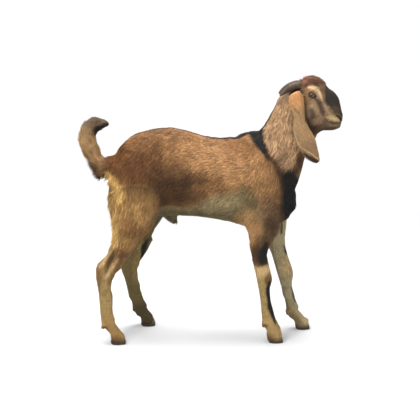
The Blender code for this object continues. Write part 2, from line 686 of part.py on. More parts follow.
def finish(pieces):
    """Gives each piece its material and puts the origin under the middle of the whole."""
    looks = {
        "head": "coat", "neck": "coat", "trunk": "coat", "tail": "dark", "leg": "buff",
        "ear": "ear", "eye": "eye", "horn": "horn", "hoof": "hoof", "dewclaw": "hoof",
    }
    made = {look: material("goat_" + look, COLOURS[look], 0.35 if look == "eye" else 0.85)
            for look in set(looks.values())}
    corners = np.array([vertex.co for piece in pieces.values() for vertex in piece.data.vertices])
    low, high = corners.min(axis=0), corners.max(axis=0)
    shift = Matrix.Translation((-(low[0] + high[0]) / 2, -(low[1] + high[1]) / 2, -low[2]))
    for name, piece in pieces.items():
        piece.data.transform(shift)
        piece.data.materials.clear()
        piece.data.materials.append(made[looks[name.split("_")[0]]])
        piece.data.shade_smooth()
        piece.data.set_sharp_from_angle(angle=math.radians(50))


finish(make_goat())
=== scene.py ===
"""The finish of a young long-eared buck: one skin, its coat of tufts, eyes, horns and hooves.

Metres, in the frame's own axes: +X runs from tail to nose, +Y to the goat's left, +Z up.
Places on the goat are x, z in its side view, and "out" is the distance from its middle plane.
"""
import math

import bmesh
import bpy
import numpy as np
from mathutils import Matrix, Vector
from mathutils.bvhtree import BVHTree


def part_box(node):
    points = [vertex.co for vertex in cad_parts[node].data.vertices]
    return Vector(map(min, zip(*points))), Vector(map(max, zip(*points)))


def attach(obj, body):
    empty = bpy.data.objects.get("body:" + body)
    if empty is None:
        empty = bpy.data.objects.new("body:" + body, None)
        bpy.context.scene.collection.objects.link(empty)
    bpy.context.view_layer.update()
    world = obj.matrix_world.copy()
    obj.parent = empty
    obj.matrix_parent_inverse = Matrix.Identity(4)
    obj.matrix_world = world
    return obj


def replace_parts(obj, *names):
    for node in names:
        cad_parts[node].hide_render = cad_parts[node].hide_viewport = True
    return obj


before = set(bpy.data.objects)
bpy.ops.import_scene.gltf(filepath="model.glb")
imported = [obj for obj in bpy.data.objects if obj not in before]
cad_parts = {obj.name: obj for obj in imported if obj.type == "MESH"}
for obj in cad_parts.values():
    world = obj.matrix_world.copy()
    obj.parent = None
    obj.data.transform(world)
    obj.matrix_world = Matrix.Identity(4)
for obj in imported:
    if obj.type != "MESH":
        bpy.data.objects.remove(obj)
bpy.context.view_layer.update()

SIDES = {"right": -1, "left": 1}
LEGS = ("leg_front_right", "leg_front_left", "leg_hind_right", "leg_hind_left")
FLESH = ("head", "neck", "trunk", "tail", *LEGS, "ear_right", "ear_left")
HEAD = FLESH.index("head")
TAIL = FLESH.index("tail")
FIRST_LEG = FLESH.index(LEGS[0])
FIRST_EAR = FLESH.index("ear_right")


def centre_of(node):
    low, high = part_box(node)
    return (low + high) / 2


EYE_BACK = Vector((0.003, 0, 0))     # how far behind the middle of its solid each eyeball sits
EYES = {side: centre_of("eye_" + side) - EYE_BACK for side in SIDES}
MIDDLE = (EYES["right"].y + EYES["left"].y) / 2
EYE_X, EYE_Z = EYES["right"].x, EYES["right"].z
CHANCE = np.random.default_rng(20)


# ------------------------------------------------------------------ forms of the skin
FUSE = 0.0005                # that each solid swells so that they fuse
FORM_VOXEL = 0.002           # of the smooth form that the skin is drawn over
SKIN_VOXEL = 0.0046          # of the skin on the trunk and legs; the rest is cut finer
FEET_BELOW = 0.090           # height under which the skin is drawn finer
RELAX_ROUNDS = 50
RELAX_SHARE = (0.20, 0.45, 0.45, 0.16, 0.14, 0.14, 0.14, 0.14, 0.05, 0.05)     # in the order of FLESH
COAT_DEPTH = 0.6             # share of the rise of its hair that the skin lies under
LEG_DEPTH = 0.2              # share of that on the legs
LEAST_DEPTH = 0.0003
EAR_DEPTH = 0.0009
HOOF_COVER = 0.0030          # thickness of the hair over the hooves
RIM_SHOWN = 0.0090           # of a hoof below its hair
TOE_SHOWN = 0.011            # of its toe in front of that hair
CLAW_COVER = 0.0034          # thickness of the hair round the dewclaws
CLAW_ROOT = (0.0065, 0, 0.0030)      # that this hair is set forwards and up
CLAW_TUCK = (0.0030, 0, 0.0005)      # that the dewclaws lie nearer to the leg than their solids
EYE_REFINED = 0.021          # radius round an eye that is refined twice
MUZZLE_FROM = 0.398          # x in front of which the muzzle is refined

BALL = 0.0136                # radius of the eyeball
LID = 0.0012                 # thickness of the lids
SLIT_LENGTH = 0.0122         # half sizes of the eye's opening
SLIT_HEIGHT = 0.0069
SLIT_TILT = math.radians(-19)
# Ridges and furrows round the slit: distance from it, width, height.
UPPER_CREASE = (0.0042, 0.0011, 0.0011)
LOWER_CREASE = (0.0038, 0.0012, 0.0007)
LID_RIM = (0.0009, 0.0008, 0.0007)
EYE_SUNK = 0.0065            # that the skin inside the slit lies behind the lids
GAZE = Vector((-0.04, 1.0, 0.10)).normalized()     # the way that the opening faces, and
LOOK = Vector((-0.26, 1.0, 0.03)).normalized()    # the way that the eye looks, for the left eye
IRIS = 0.0088                # radius
PUPIL_LENGTH = 0.0026        # half the length of the pupil's straight part
PUPIL_HEIGHT = 0.0025        # half its height

MOUTH = ((0.404, 0.7905), (0.413, 0.7845), (0.424, 0.7795), (0.436, 0.7775), (0.448, 0.7790),
         (0.466, 0.7830))
NOSTRIL_PIT = (0.0024, 0.0062)       # width and depth
LIP_SPLIT = (0.0013, 0.0012)         # of the furrow between the nostrils
NOSTRIL = ((0.4425, 0.8045), (0.4490, 0.8010), (0.4545, 0.7945), (0.4565, 0.7875))
# Furrows and ridges of the face: path, half width, height.
FACE_FORMS = (
    (MOUTH, 0.0015, -0.0028),
    (((0.412, 0.7960), (0.427, 0.7885), (0.446, 0.7875)), 0.0050, 0.0009),
    (((0.417, 0.7715), (0.436, 0.7680), (0.450, 0.7715)), 0.0050, 0.0009),
    (((0.412, 0.7580), (0.426, 0.7560), (0.438, 0.7600)), 0.0080, 0.0026),
    (((0.399, 0.8000), (0.402, 0.7890), (0.410, 0.7770)), 0.0032, -0.0012),
    (((0.433, 0.8130), (0.445, 0.8100), (0.455, 0.8030), (0.4590, 0.7930)), 0.0026, 0.0016),
    (((0.436, 0.8030), (0.444, 0.7960), (0.4495, 0.7890)), 0.0024, 0.0010),
    (((0.375, 0.8680), (0.386, 0.8590), (0.396, 0.8440)), 0.0030, -0.0011),
    (((0.372, 0.8500), (0.392, 0.8350), (0.412, 0.8200), (0.428, 0.8090)), 0.0060, 0.0014),
    (((0.352, 0.8260), (0.366, 0.8020), (0.384, 0.7790), (0.402, 0.7660)), 0.0050, -0.0011),
    (((0.334, 0.8420), (0.338, 0.8100), (0.350, 0.7800)), 0.0060, 0.0016),
    (((0.338, 0.9000), (0.352, 0.9020), (0.370, 0.8960)), 0.0045, 0.0016),
    (((0.344, 0.8630), (0.356, 0.8590), (0.370, 0.8610)), 0.0030, -0.0009),
    (((0.414, 0.8080), (0.408, 0.7950), (0.413, 0.7820)), 0.0030, -0.0008),
)
EAR_MARGIN = ((0.276, 0.846), (0.281, 0.800), (0.289, 0.762), (0.300, 0.728), (0.313, 0.703),
              (0.334, 0.6905), (0.358, 0.6755), (0.377, 0.6610))
# Forms of the outer face of the ears, in the same way.
EAR_FORMS = (
    (EAR_MARGIN, 0.0028, 0.0016),
    (((0.279, 0.8455), (0.289, 0.8340), (0.304, 0.8240), (0.312, 0.8090), (0.315, 0.7850)),
     0.0026, -0.0028),
    (((0.286, 0.830), (0.296, 0.770), (0.314, 0.720), (0.340, 0.692)), 0.0050, -0.0016),
    (((0.318, 0.880), (0.327, 0.840), (0.332, 0.790)), 0.0040, -0.0020),
    (((0.326, 0.6805), (0.347, 0.6670), (0.368, 0.6530)), 0.0050, -0.0026),
    (((0.290, 0.895), (0.296, 0.870), (0.306, 0.845)), 0.0100, 0.0020),
)
# Forms of the neck, chest and joints, in the same way.
BODY_FORMS = (
    (((0.300, 0.742), (0.292, 0.700), (0.268, 0.650)), 0.012, -0.0030),
    (((0.268, 0.780), (0.246, 0.720), (0.232, 0.670)), 0.020, 0.0020),
    (((0.205, 0.560), (0.236, 0.600), (0.262, 0.640)), 0.014, -0.0030),
    (((0.150, 0.700), (0.178, 0.640), (0.205, 0.580)), 0.013, 0.0030),
    (((-0.331, 0.334), (-0.346, 0.303), (-0.361, 0.278)), 0.0075, -0.0050),
    (((-0.322, 0.312), (-0.342, 0.284), (-0.356, 0.256)), 0.0060, 0.0016),
    (((-0.200, 0.480), (-0.212, 0.520), (-0.205, 0.560)), 0.016, -0.0040),
    (((0.118, 0.470), (0.110, 0.510), (0.122, 0.560)), 0.018, -0.0040),
    (((0.190, 0.215), (0.192, 0.150), (0.200, 0.095)), 0.0040, -0.0014),
    (((-0.372, 0.215), (-0.362, 0.150), (-0.350, 0.095)), 0.0040, -0.0014),
    (((-0.215, 0.470), (-0.240, 0.420), (-0.268, 0.370)), 0.012, -0.0030),
)
# Where the coat or the flesh stands fuller or leaner than its solid: path, half width, how far it
# moves in x and z, and the side (-1 right, 1 left, 0 both).
SWELLS = (
    (((-0.222, 0.330), (-0.242, 0.280), (-0.258, 0.240)), 0.014, (0.011, 0), 1),
    (((-0.256, 0.160), (-0.246, 0.110), (-0.236, 0.085)), 0.011, (0.007, 0), 1),
    (((-0.314, 0.276), (-0.334, 0.248)), 0.012, (0.010, -0.004), -1),
    (((-0.308, 0.262), (-0.300, 0.190), (-0.290, 0.110)), 0.010, (-0.006, 0), 1),
    (((0.158, 0.300), (0.172, 0.230), (0.182, 0.160), (0.190, 0.088)), 0.010, (-0.0035, 0), -1),
    (((0.222, 0.340), (0.240, 0.270), (0.256, 0.200), (0.270, 0.130)), 0.011, (-0.004, 0), 1),
    (((0.262, 0.420), (0.272, 0.330), (0.296, 0.200), (0.308, 0.130)), 0.011, (0.003, 0), 1),
    (((-0.338, 0.430), (-0.337, 0.380), (-0.345, 0.345)), 0.014, (-0.004, 0), -1),
    (((-0.390, 0.275), (-0.386, 0.240)), 0.008, (-0.002, 0), -1),
    (((-0.348, 0.180), (-0.344, 0.150), (-0.336, 0.095)), 0.010, (0.005, 0), -1),
    (((-0.380, 0.190), (-0.378, 0.110), (-0.374, 0.085)), 0.009, (-0.005, 0), -1),
    (((-0.372, 0.056), (-0.358, 0.044)), 0.008, (0.002, 0.001), -1),
    (((0.276, 0.470), (0.296, 0.452)), 0.018, (-0.006, 0.003), 0),
    (((0.132, 0.400), (0.138, 0.370)), 0.012, (0.005, 0), -1),
    (((-0.176, 0.440), (-0.158, 0.430)), 0.013, (0, 0.007), 0),
    (((-0.130, 0.416), (-0.122, 0.420)), 0.010, (0.008, -0.007), 0),
    (((0.070, 0.424), (0.110, 0.418)), 0.013, (0, 0.003), 0),
    (((0.356, 0.752), (0.364, 0.730)), 0.017, (0.011, -0.005), 0),
    (((0.320, 0.940), (0.338, 0.946)), 0.012, (0, -0.003), 0),
    (((-0.366, 0.598), (-0.352, 0.584)), 0.012, (-0.008, -0.006), 0),
    (((-0.345, 0.550), (-0.345, 0.510)), 0.014, (0.003, 0), 0),
    (((-0.255, 0.765), (-0.170, 0.785)), 0.012, (0, -0.002), 0),
    (((-0.125, 0.770), (0.000, 0.735)), 0.016, (0, 0.007), 0),
    (((0.030, 0.728), (0.070, 0.728)), 0.015, (0, 0.006), 0),
    (((0.095, 0.750), (0.130, 0.765)), 0.014, (0, -0.004), 0),
    (((0.462, 0.802), (0.458, 0.780)), 0.012, (0.003, 0), 0),
    (((0.428, 0.885), (0.445, 0.860)), 0.014, (0.002, 0.002), 0),
    (((-0.330, 0.090), (-0.318, 0.045)), 0.009, (-0.003, 0), -1),
    (((0.240, 0.072), (0.248, 0.056)), 0.009, (0.003, 0), -1),
    (((0.250, 0.425), (0.226, 0.385)), 0.014, (-0.011, 0.004), -1),
    (((0.292, 0.530), (0.292, 0.500)), 0.014, (0.004, 0), 0),
    (((0.336, 0.074), (0.352, 0.050)), 0.011, (-0.008, -0.003), 1),
    (((0.206, 0.030), (0.205, 0.018)), 0.010, (-0.003, 0), -1),
    (((-0.272, 0.072), (-0.260, 0.048)), 0.010, (-0.007, -0.004), 1),
    (((-0.208, 0.014), (-0.214, 0.026)), 0.008, (-0.004, 0), 1),
    (((0.288, 0.055), (0.296, 0.038)), 0.010, (-0.003, -0.002), 1),
)
EAR_GROWTH = 0.0022          # that the thin ears are swollen by while they are drawn in squares


def fade(value, start, stop):
    """0 at start and 1 at stop, smooth between them."""
    t = np.clip((value - start) / (stop - start), 0, 1)
    return t * t * (3 - 2 * t)


def bulge(far, place, width, height):
    """The height of a rounded ridge that runs at one distance from something."""
    return height * np.exp(-((far - place) / width) ** 2)


def from_path(points, path):
    """How far each point is from a path, and how far along the path its nearest place is (0 to 1)."""
    path = np.array(path, float)
    lengths = np.linalg.norm(np.diff(path, axis=0), axis=1)
    far, along = np.full(len(points), np.inf), np.zeros(len(points))
    for start, stop, length, done in zip(path, path[1:], lengths, np.cumsum(lengths) - lengths):
        offset = points - start
        t = np.clip(offset @ (stop - start) / length ** 2, 0, 1)
        gap = np.linalg.norm(offset - t[:, None] * (stop - start), axis=1)
        nearer = gap < far
        far[nearer] = gap[nearer]
        along[nearer] = done + t[nearer] * length
    return far, along / lengths.sum()


def side_view(points):
    return points[:, [0, 2]]


def numbers(items, field, width=3):
    made = np.empty(len(items) * width)
    items.foreach_get(field, made)
    return made.reshape(-1, width)


def vertex_normals(mesh):
    return numbers(mesh.vertex_normals, "vector")


def points_of(mesh):
    return numbers(mesh.vertices, "co")


def pairs_of(mesh):
    """The two ends of each edge."""
    return numbers(mesh.edges, "vertices", 2).astype(int)


def place_points(mesh, points):
    mesh.vertices.foreach_set("co", points.ravel())
    mesh.update()


def unit(vectors):
    return vectors / np.maximum(np.linalg.norm(vectors, axis=1, keepdims=True), 1e-9)


def mesh_of(name, bm):
    """The mesh that a bmesh holds; the bmesh is freed."""
    mesh = bpy.data.meshes.new(name)
    bm.to_mesh(mesh)
    bm.free()
    return mesh


def linked(name, data):
    obj = bpy.data.objects.new(name, data)
    bpy.context.scene.collection.objects.link(obj)
    return obj


def applied(obj):
    """Gives the object the mesh that its modifiers make."""
    graph = bpy.context.evaluated_depsgraph_get()
    old, obj.data = obj.data, bpy.data.meshes.new_from_object(obj.evaluated_get(graph))
    obj.modifiers.clear()
    bpy.data.meshes.remove(old)
    return obj.data


def remeshed(obj, size):
    """Draws the object's mesh anew in even squares of one size."""
    squares = obj.modifiers.new("squares", "REMESH")
    squares.mode = "VOXEL"
    squares.voxel_size = size
    return applied(obj)


def whole_node(node, grow=0.0):
    """A CAD solid with its points joined, grown along its normals."""
    bm = bmesh.new()
    bm.from_mesh(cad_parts[node].data)
    bmesh.ops.remove_doubles(bm, verts=bm.verts, dist=1e-5)
    bm.normal_update()
    for vertex in bm.verts:
        vertex.co += vertex.normal * grow
    return bm


def cut_off(bm, place, kept):
    """Cuts off what is behind a plane, where kept is its front, and closes the cut."""
    bmesh.ops.bisect_plane(bm, geom=bm.verts[:] + bm.edges[:] + bm.faces[:], plane_co=place,
                           plane_no=kept, clear_inner=True)
    bmesh.ops.holes_fill(bm, edges=[edge for edge in bm.edges if edge.is_boundary], sides=0)


HORN_ROOT = 0.22             # share of a horn's length that is in the skull


def horn_root(side):
    """The part of a horn that is in the skull, so that the skin closes round it."""
    bm = whole_node("horn_" + side)
    low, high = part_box("horn_" + side)
    cut_off(bm, high - Vector(((high.x - low.x) * HORN_ROOT, 0, 0)), (1, 0, 0))
    return bm


def foot_hair(hoof):
    """The hair that hangs over a hoof, down to its worn rim and short of its toe."""
    bm = whole_node(hoof, HOOF_COVER)
    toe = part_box(hoof)[1].x - TOE_SHOWN
    cut_off(bm, (0, 0, RIM_SHOWN), (0, 0, 1))
    cut_off(bm, (toe, 0, 0), (-1, 0, 0.35))
    return bm


def fetlock_hair(claw):
    """The hair round the root of a dewclaw."""
    bm = whole_node(claw, CLAW_COVER)
    bmesh.ops.translate(bm, vec=CLAW_ROOT, verts=bm.verts)
    return bm


def fused_flesh():
    """Every solid of flesh as one closed mesh."""
    whole = bmesh.new()
    solids = [whole_node(node, FUSE) for node in FLESH]
    solids += [whole_node("eye_" + side, FUSE) for side in SIDES]
    solids += [horn_root(side) for side in SIDES]
    solids += [foot_hair(node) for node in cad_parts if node.startswith("hoof")]
    solids += [fetlock_hair(node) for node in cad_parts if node.startswith("dewclaw")]
    for solid in solids:
        mesh = mesh_of("solid", solid)
        whole.from_mesh(mesh)
        bpy.data.meshes.remove(mesh)
    flesh = linked("flesh", mesh_of("skin", whole))
    remeshed(flesh, FORM_VOXEL)
    return flesh


def on_head_or_ear(points):
    """Which points are beyond the cut between neck and head, or beside it as far out as an ear."""
    head = 0.72 * (points[:, 0] - 0.2905) + 0.69 * (points[:, 2] - 0.800) > -0.006
    low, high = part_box("ear_right")
    ear = (points[:, 0] > low.x - 0.004) & (points[:, 2] > low.z - 0.01)
    return head | ear & (np.abs(points[:, 1] - MIDDLE) > MIDDLE - high.y - 0.004)


def nearest_nodes(points, names):
    """For each point, which of the named CAD nodes is nearest, as its place in names."""
    corners, faces, owner = [], [], []
    for index, name in enumerate(names):
        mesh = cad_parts[name].data
        start = len(corners)
        corners += [vertex.co.copy() for vertex in mesh.vertices]
        faces += [[start + corner for corner in face.vertices] for face in mesh.polygons]
        owner += [index] * len(mesh.polygons)
    tree = BVHTree.FromPolygons(corners, faces)
    return np.array([owner[tree.find_nearest(point)[2]] for point in points])


def relax(points, pairs, share, rounds):
    """Moves each point towards the middle of its neighbours, by its share, again and again."""
    count = len(points)
    near, far = np.concatenate([pairs, pairs[:, ::-1]]).T
    degree = np.maximum(np.bincount(near, minlength=count), 1)[:, None]
    for _ in range(rounds):
        total = np.stack([np.bincount(near, points[far, i], count) for i in range(3)], axis=1)
        points = points + share[:, None] * (total / degree - points)
    return points


def relaxed(points, pairs, share, rounds):
    """Points relaxed, with their broad forms given back twice, so that nothing broad shrinks."""
    smooth = relax(points, pairs, share, rounds)
    for _ in range(2):
        smooth = smooth + relax(points - smooth, pairs, share, rounds)
    return smooth


def refine(mesh, chosen):
    """Cuts the chosen faces in four; chosen takes the middles of the faces."""
    bm = bmesh.new()
    bm.from_mesh(mesh)
    bm.faces.ensure_lookup_table()
    picked = chosen(np.array([face.calc_center_median() for face in bm.faces]))
    edges = {edge for index in np.nonzero(picked)[0] for edge in bm.faces[index].edges}
    bmesh.ops.subdivide_edges(bm, edges=list(edges), cuts=1, use_grid_fill=True)
    bmesh.ops.triangulate(bm, faces=[face for face in bm.faces if len(face.verts) > 4])
    bm.to_mesh(mesh)
    bm.free()


def near_an_eye(points, reach):
    return np.minimum(*[np.linalg.norm(points - EYES[side], axis=1) for side in SIDES]) < reach


def opening(points, side):
    """Places in front of an eye: forwards along the slit, up across it, and out of the head."""
    gaze = Vector((GAZE.x, GAZE.y * SIDES[side], GAZE.z))
    along = Vector((math.cos(SLIT_TILT), 0, math.sin(SLIT_TILT)))
    along = (along - gaze * along.dot(gaze)).normalized()
    up = along.cross(gaze) * -SIDES[side]
    offset = points - np.array(EYES[side])
    return offset @ np.array(along), offset @ np.array(up), offset @ np.array(gaze), gaze


def slit_distance(along, up):
    """How far outside the eye's opening a place is; it is negative inside."""
    height = SLIT_HEIGHT * np.where(up > 0, 1.05, 0.85)
    lid = height * np.sqrt(np.clip(1 - (along / SLIT_LENGTH) ** 2, 0, 1)) ** 1.3
    beyond = np.maximum(np.abs(along) - SLIT_LENGTH, 0)
    return np.where(beyond > 0, np.hypot(beyond, up), np.abs(up) - lid)


def shape_eyes(points):
    """Draws the skin over each eyeball as two lids, and sinks what is inside their slit."""
    for side in SIDES:
        along, up, out, gaze = opening(points, side)
        near = (np.hypot(along, up) < 0.030) & (out > 0)
        away = slit_distance(along, up)
        ball = np.sqrt(np.clip((BALL + LID) ** 2 - along ** 2 - up ** 2, 0.0075 ** 2, None))
        hold = (1 - fade(away, 0.0015, 0.0105)) * near
        crease = bulge(away, *UPPER_CREASE) * (up > -0.002)
        crease += bulge(away, *LOWER_CREASE) * (up <= -0.002)
        rim = bulge(away, *LID_RIM)
        sunk = EYE_SUNK * fade(-away, -0.0001, 0.0009)
        rise = hold * (ball - out) + near * (rim - crease - sunk * (away < 0.0002))
        points = points + rise[:, None] * np.array(gaze)
    return points


def shape_forms(points, normals, forms, chosen):
    """Adds furrows and ridges along paths in the side view, at the chosen points."""
    height = np.zeros(len(points))
    for path, half_width, rise in forms:
        far, _ = from_path(side_view(points), path)
        height += bulge(far, 0, half_width, rise)
    return points + normals * (height * chosen)[:, None]


def shape_nostrils(points, normals):
    far, _ = from_path(side_view(points), NOSTRIL)
    out = np.abs(points[:, 1] - MIDDLE)
    pit = bulge(far, 0, *NOSTRIL_PIT) * fade(out, 0.0035, 0.0065)
    split = bulge(out, 0, *LIP_SPLIT) * fade(points[:, 0], 0.450, 0.457)
    split = split * fade(points[:, 2], 0.812, 0.800)
    return points - normals * (pit + split)[:, None]


def smooth_form():
    """The fused flesh with the facets of the solids worn away, its ears thickened, and a map of
    its true surface."""
    flesh = fused_flesh()
    points = points_of(flesh.data)
    pairs = pairs_of(flesh.data)
    nodes = nearest_nodes(points, FLESH)
    share = np.array(RELAX_SHARE)[nodes]
    share = np.where(nodes >= FIRST_EAR, 0.05 + 0.13 * fade(points[:, 2], 0.83, 0.87), share)
    at_sheath = (points[:, 2] < 0.445) & (np.abs(points[:, 0] + 0.13) < 0.055)
    share = np.where(at_sheath | (points[:, 2] < FEET_BELOW), 0.06, share)
    share = relax(np.repeat(share[:, None], 3, axis=1), pairs, np.ones(len(points)), 8)[:, 0]
    points = relaxed(points, pairs, share, RELAX_ROUNDS)
    place_points(flesh.data, points)
    surface = BVHTree.FromObject(flesh, bpy.context.evaluated_depsgraph_get())
    ears = (nodes >= FIRST_EAR)[:, None] * EAR_GROWTH
    place_points(flesh.data, points + vertex_normals(flesh.data) * ears)
    return flesh, surface


def swollen(points, nodes):
    """Points moved where the coat or the flesh is fuller or leaner than its solid."""
    total = np.zeros_like(points)
    tail = (nodes == TAIL) * fade(points[:, 2], 0.66, 0.73)
    total += tail[:, None] * np.array((0.0025, 0, -0.003))
    for path, half_width, (move_x, move_z), side in SWELLS:
        far, _ = from_path(side_view(points), path)
        share = np.exp(-(far / half_width) ** 2) * (nodes < FIRST_EAR)
        if side:
            share *= (points[:, 1] - MIDDLE) * side > 0
        total += share[:, None] * np.array((move_x, 0, move_z))
    return points + total


def trim_ears(points, nodes):
    """Rounds the front corner of the ears' roots off."""
    ear = (nodes >= FIRST_EAR) * fade(points[:, 0], 0.300, 0.326) * fade(points[:, 2], 0.862, 0.892)
    return points - ear[:, None] * np.array((0.006, 0, 0.011))


def make_skin():
    """The one skin of the goat, sculpted and drawn in by the depth of its coat."""
    flesh, surface = smooth_form()
    skin = linked("skin", flesh.data.copy())
    bpy.data.meshes.remove(flesh.data)
    mesh = remeshed(skin, SKIN_VOXEL)
    refine(mesh, lambda p: on_head_or_ear(p) | (p[:, 2] < FEET_BELOW))
    refine(mesh, lambda p: (p[:, 0] > MUZZLE_FROM) & (p[:, 2] < 0.83) | near_an_eye(p, EYE_REFINED))
    refine(mesh, lambda p: near_an_eye(p, EYE_REFINED - 0.002))
    points = points_of(mesh)
    pairs = pairs_of(mesh)
    points = np.array([surface.find_nearest(point)[0] for point in points])
    points = relax(points, pairs, np.full(len(points), 0.3), 3)
    nodes = nearest_nodes(points, FLESH)
    points = swollen(trim_ears(points, nodes), nodes)
    place_points(mesh, points)

    _, length, lift, _ = coat_at(points, nodes)
    depth = COAT_DEPTH * length * np.sin(np.radians(lift)) + LEAST_DEPTH
    depth = np.where(nodes >= FIRST_EAR, EAR_DEPTH, depth)
    depth = np.where((nodes >= FIRST_LEG) & (nodes < FIRST_EAR), LEG_DEPTH * depth, depth)
    points = points - vertex_normals(mesh) * depth[:, None]
    points = shape_eyes(points)
    place_points(mesh, points)
    out = np.abs(points[:, 1] - MIDDLE)
    nodes = nearest_nodes(points, FLESH)
    clear_of_eye = 1 - near_an_eye(points, 0.0145)
    head = (nodes == HEAD) & (out > 0.006)
    points = shape_forms(points, vertex_normals(mesh), FACE_FORMS, head * clear_of_eye)
    points = shape_nostrils(points, vertex_normals(mesh))
    body = (nodes != HEAD) & (nodes < FIRST_EAR) & (nodes != TAIL)
    points = shape_forms(points, vertex_normals(mesh), BODY_FORMS, body)
    outer = (nodes >= FIRST_EAR) & (np.abs(vertex_normals(mesh)[:, 1]) > 0.2)
    outer &= np.sign(vertex_normals(mesh)[:, 1]) == np.sign(points[:, 1] - MIDDLE)
    points = shape_forms(points, vertex_normals(mesh), EAR_FORMS, outer)
    place_points(mesh, points)
    points = relax(points, pairs, np.full(len(points), 0.15), 1)
    place_points(mesh, points)
    mesh.shade_smooth()
    return skin, nodes


# ------------------------------------------------------------------ the lie of the coat
# x, z, lie (degrees: 0 to the nose, 90 up, 180 to the tail, 270 down), hair length in mm,
# lift in degrees and width in mm.
LIE = (
    (0.462, 0.800, 112, 3.5, 9, 0.8), (0.440, 0.878, 125, 5, 9, 0.9), (0.412, 0.908, 140, 6, 9, 1.0),
    (0.440, 0.778, 175, 4, 9, 0.8), (0.400, 0.762, 192, 6, 10, 1.0), (0.395, 0.820, 196, 5, 9, 0.9),
    (0.352, 0.820, 215, 6, 9, 1.0), (0.350, 0.770, 228, 8, 11, 1.2), (0.330, 0.885, 192, 5, 9, 0.9),
    (0.357, 0.905, 165, 5, 9, 0.9), (0.378, 0.878, 160, 5, 8, 0.9),
    (0.318, 0.938, 170, 12, 7, 1.4), (0.330, 0.925, 20, 20, 9, 1.5), (0.345, 0.944, 8, 25, 13, 1.6),
    (0.368, 0.944, -14, 27, 17, 1.7), (0.390, 0.928, -48, 21, 21, 1.6), (0.365, 0.925, -12, 24, 15, 1.5),
    (0.300, 0.880, 215, 8, 10, 1.2), (0.252, 0.845, 245, 12, 11, 1.6), (0.285, 0.780, 256, 13, 10, 1.8),
    (0.215, 0.790, 238, 14, 12, 1.9), (0.248, 0.700, 260, 16, 11, 2.1), (0.330, 0.700, 262, 15, 12, 1.9),
    (0.302, 0.625, 262, 17, 11, 2.2), (0.222, 0.645, 248, 17, 10, 2.2), (0.300, 0.540, 264, 19, 12, 2.3),
    (0.268, 0.450, 232, 20, 15, 2.3), (0.150, 0.745, 205, 20, 13, 2.3), (0.180, 0.640, 236, 18, 10, 2.3),
    (0.205, 0.520, 247, 17, 10, 2.2), (0.165, 0.430, 256, 15, 11, 2.0), (0.050, 0.715, 186, 18, 11, 2.3),
    (0.040, 0.600, 211, 18, 9, 2.3), (0.040, 0.480, 206, 18, 10, 2.3), (-0.080, 0.740, 188, 18, 11, 2.3),
    (-0.080, 0.620, 209, 18, 9, 2.3), (-0.090, 0.500, 203, 19, 10, 2.3), (-0.100, 0.445, 186, 21, 14, 2.3),
    (-0.170, 0.755, 196, 19, 11, 2.3), (-0.180, 0.620, 226, 18, 9, 2.3), (-0.255, 0.700, 214, 20, 11, 2.3),
    (-0.330, 0.655, 236, 24, 14, 2.4), (-0.300, 0.590, 262, 21, 12, 2.4), (-0.352, 0.560, 268, 27, 17, 2.4),
    (-0.200, 0.520, 241, 18, 10, 2.3), (-0.260, 0.500, 262, 20, 11, 2.3), (-0.335, 0.470, 268, 28, 18, 2.4),
    (-0.210, 0.420, 247, 16, 11, 2.1), (-0.270, 0.400, 259, 17, 12, 2.1), (-0.340, 0.385, 260, 22, 17, 2.2),
    (-0.310, 0.330, 243, 12, 12, 1.8), (-0.385, 0.270, 262, 9, 10, 1.4), (-0.372, 0.170, 272, 7, 9, 1.2),
    (-0.355, 0.070, 282, 7, 10, 1.2), (-0.335, 0.030, 290, 8, 14, 1.2), (-0.250, 0.330, 262, 12, 12, 1.8),
    (-0.300, 0.240, 268, 8, 9, 1.3), (-0.280, 0.150, 280, 7, 9, 1.2), (-0.250, 0.065, 286, 7, 10, 1.2),
    (-0.235, 0.030, 292, 8, 14, 1.2), (0.172, 0.335, 266, 10, 10, 1.5), (0.190, 0.240, 270, 8, 9, 1.3),
    (0.200, 0.150, 273, 7, 9, 1.2), (0.215, 0.070, 282, 7, 10, 1.2), (0.235, 0.028, 290, 8, 14, 1.2),
    (0.240, 0.330, 276, 10, 10, 1.5), (0.275, 0.215, 278, 8, 9, 1.3), (0.290, 0.130, 280, 7, 9, 1.2),
    (0.312, 0.068, 288, 7, 10, 1.2), (0.340, 0.028, 298, 8, 14, 1.2),
)
COAT_SCALE = (0.76, 0.95, 0.84)     # of the lengths, lifts and widths above
TAIL_PATH = ((-0.340, 0.622), (-0.378, 0.620), (-0.405, 0.646), (-0.424, 0.690), (-0.430, 0.728),
             (-0.421, 0.760), (-0.400, 0.777), (-0.376, 0.779), (-0.355, 0.777))
TAIL_HAIR = (25, 18, 1.7)    # length, lift and width along the tail
TAIL_TIP = (0.55, 0.50)      # of that length and lift at its tip
FRINGE = (34, 30)            # length and lift of the fringe under the tail's root
EAR_HAIR = (5.5, 7, 1.1)


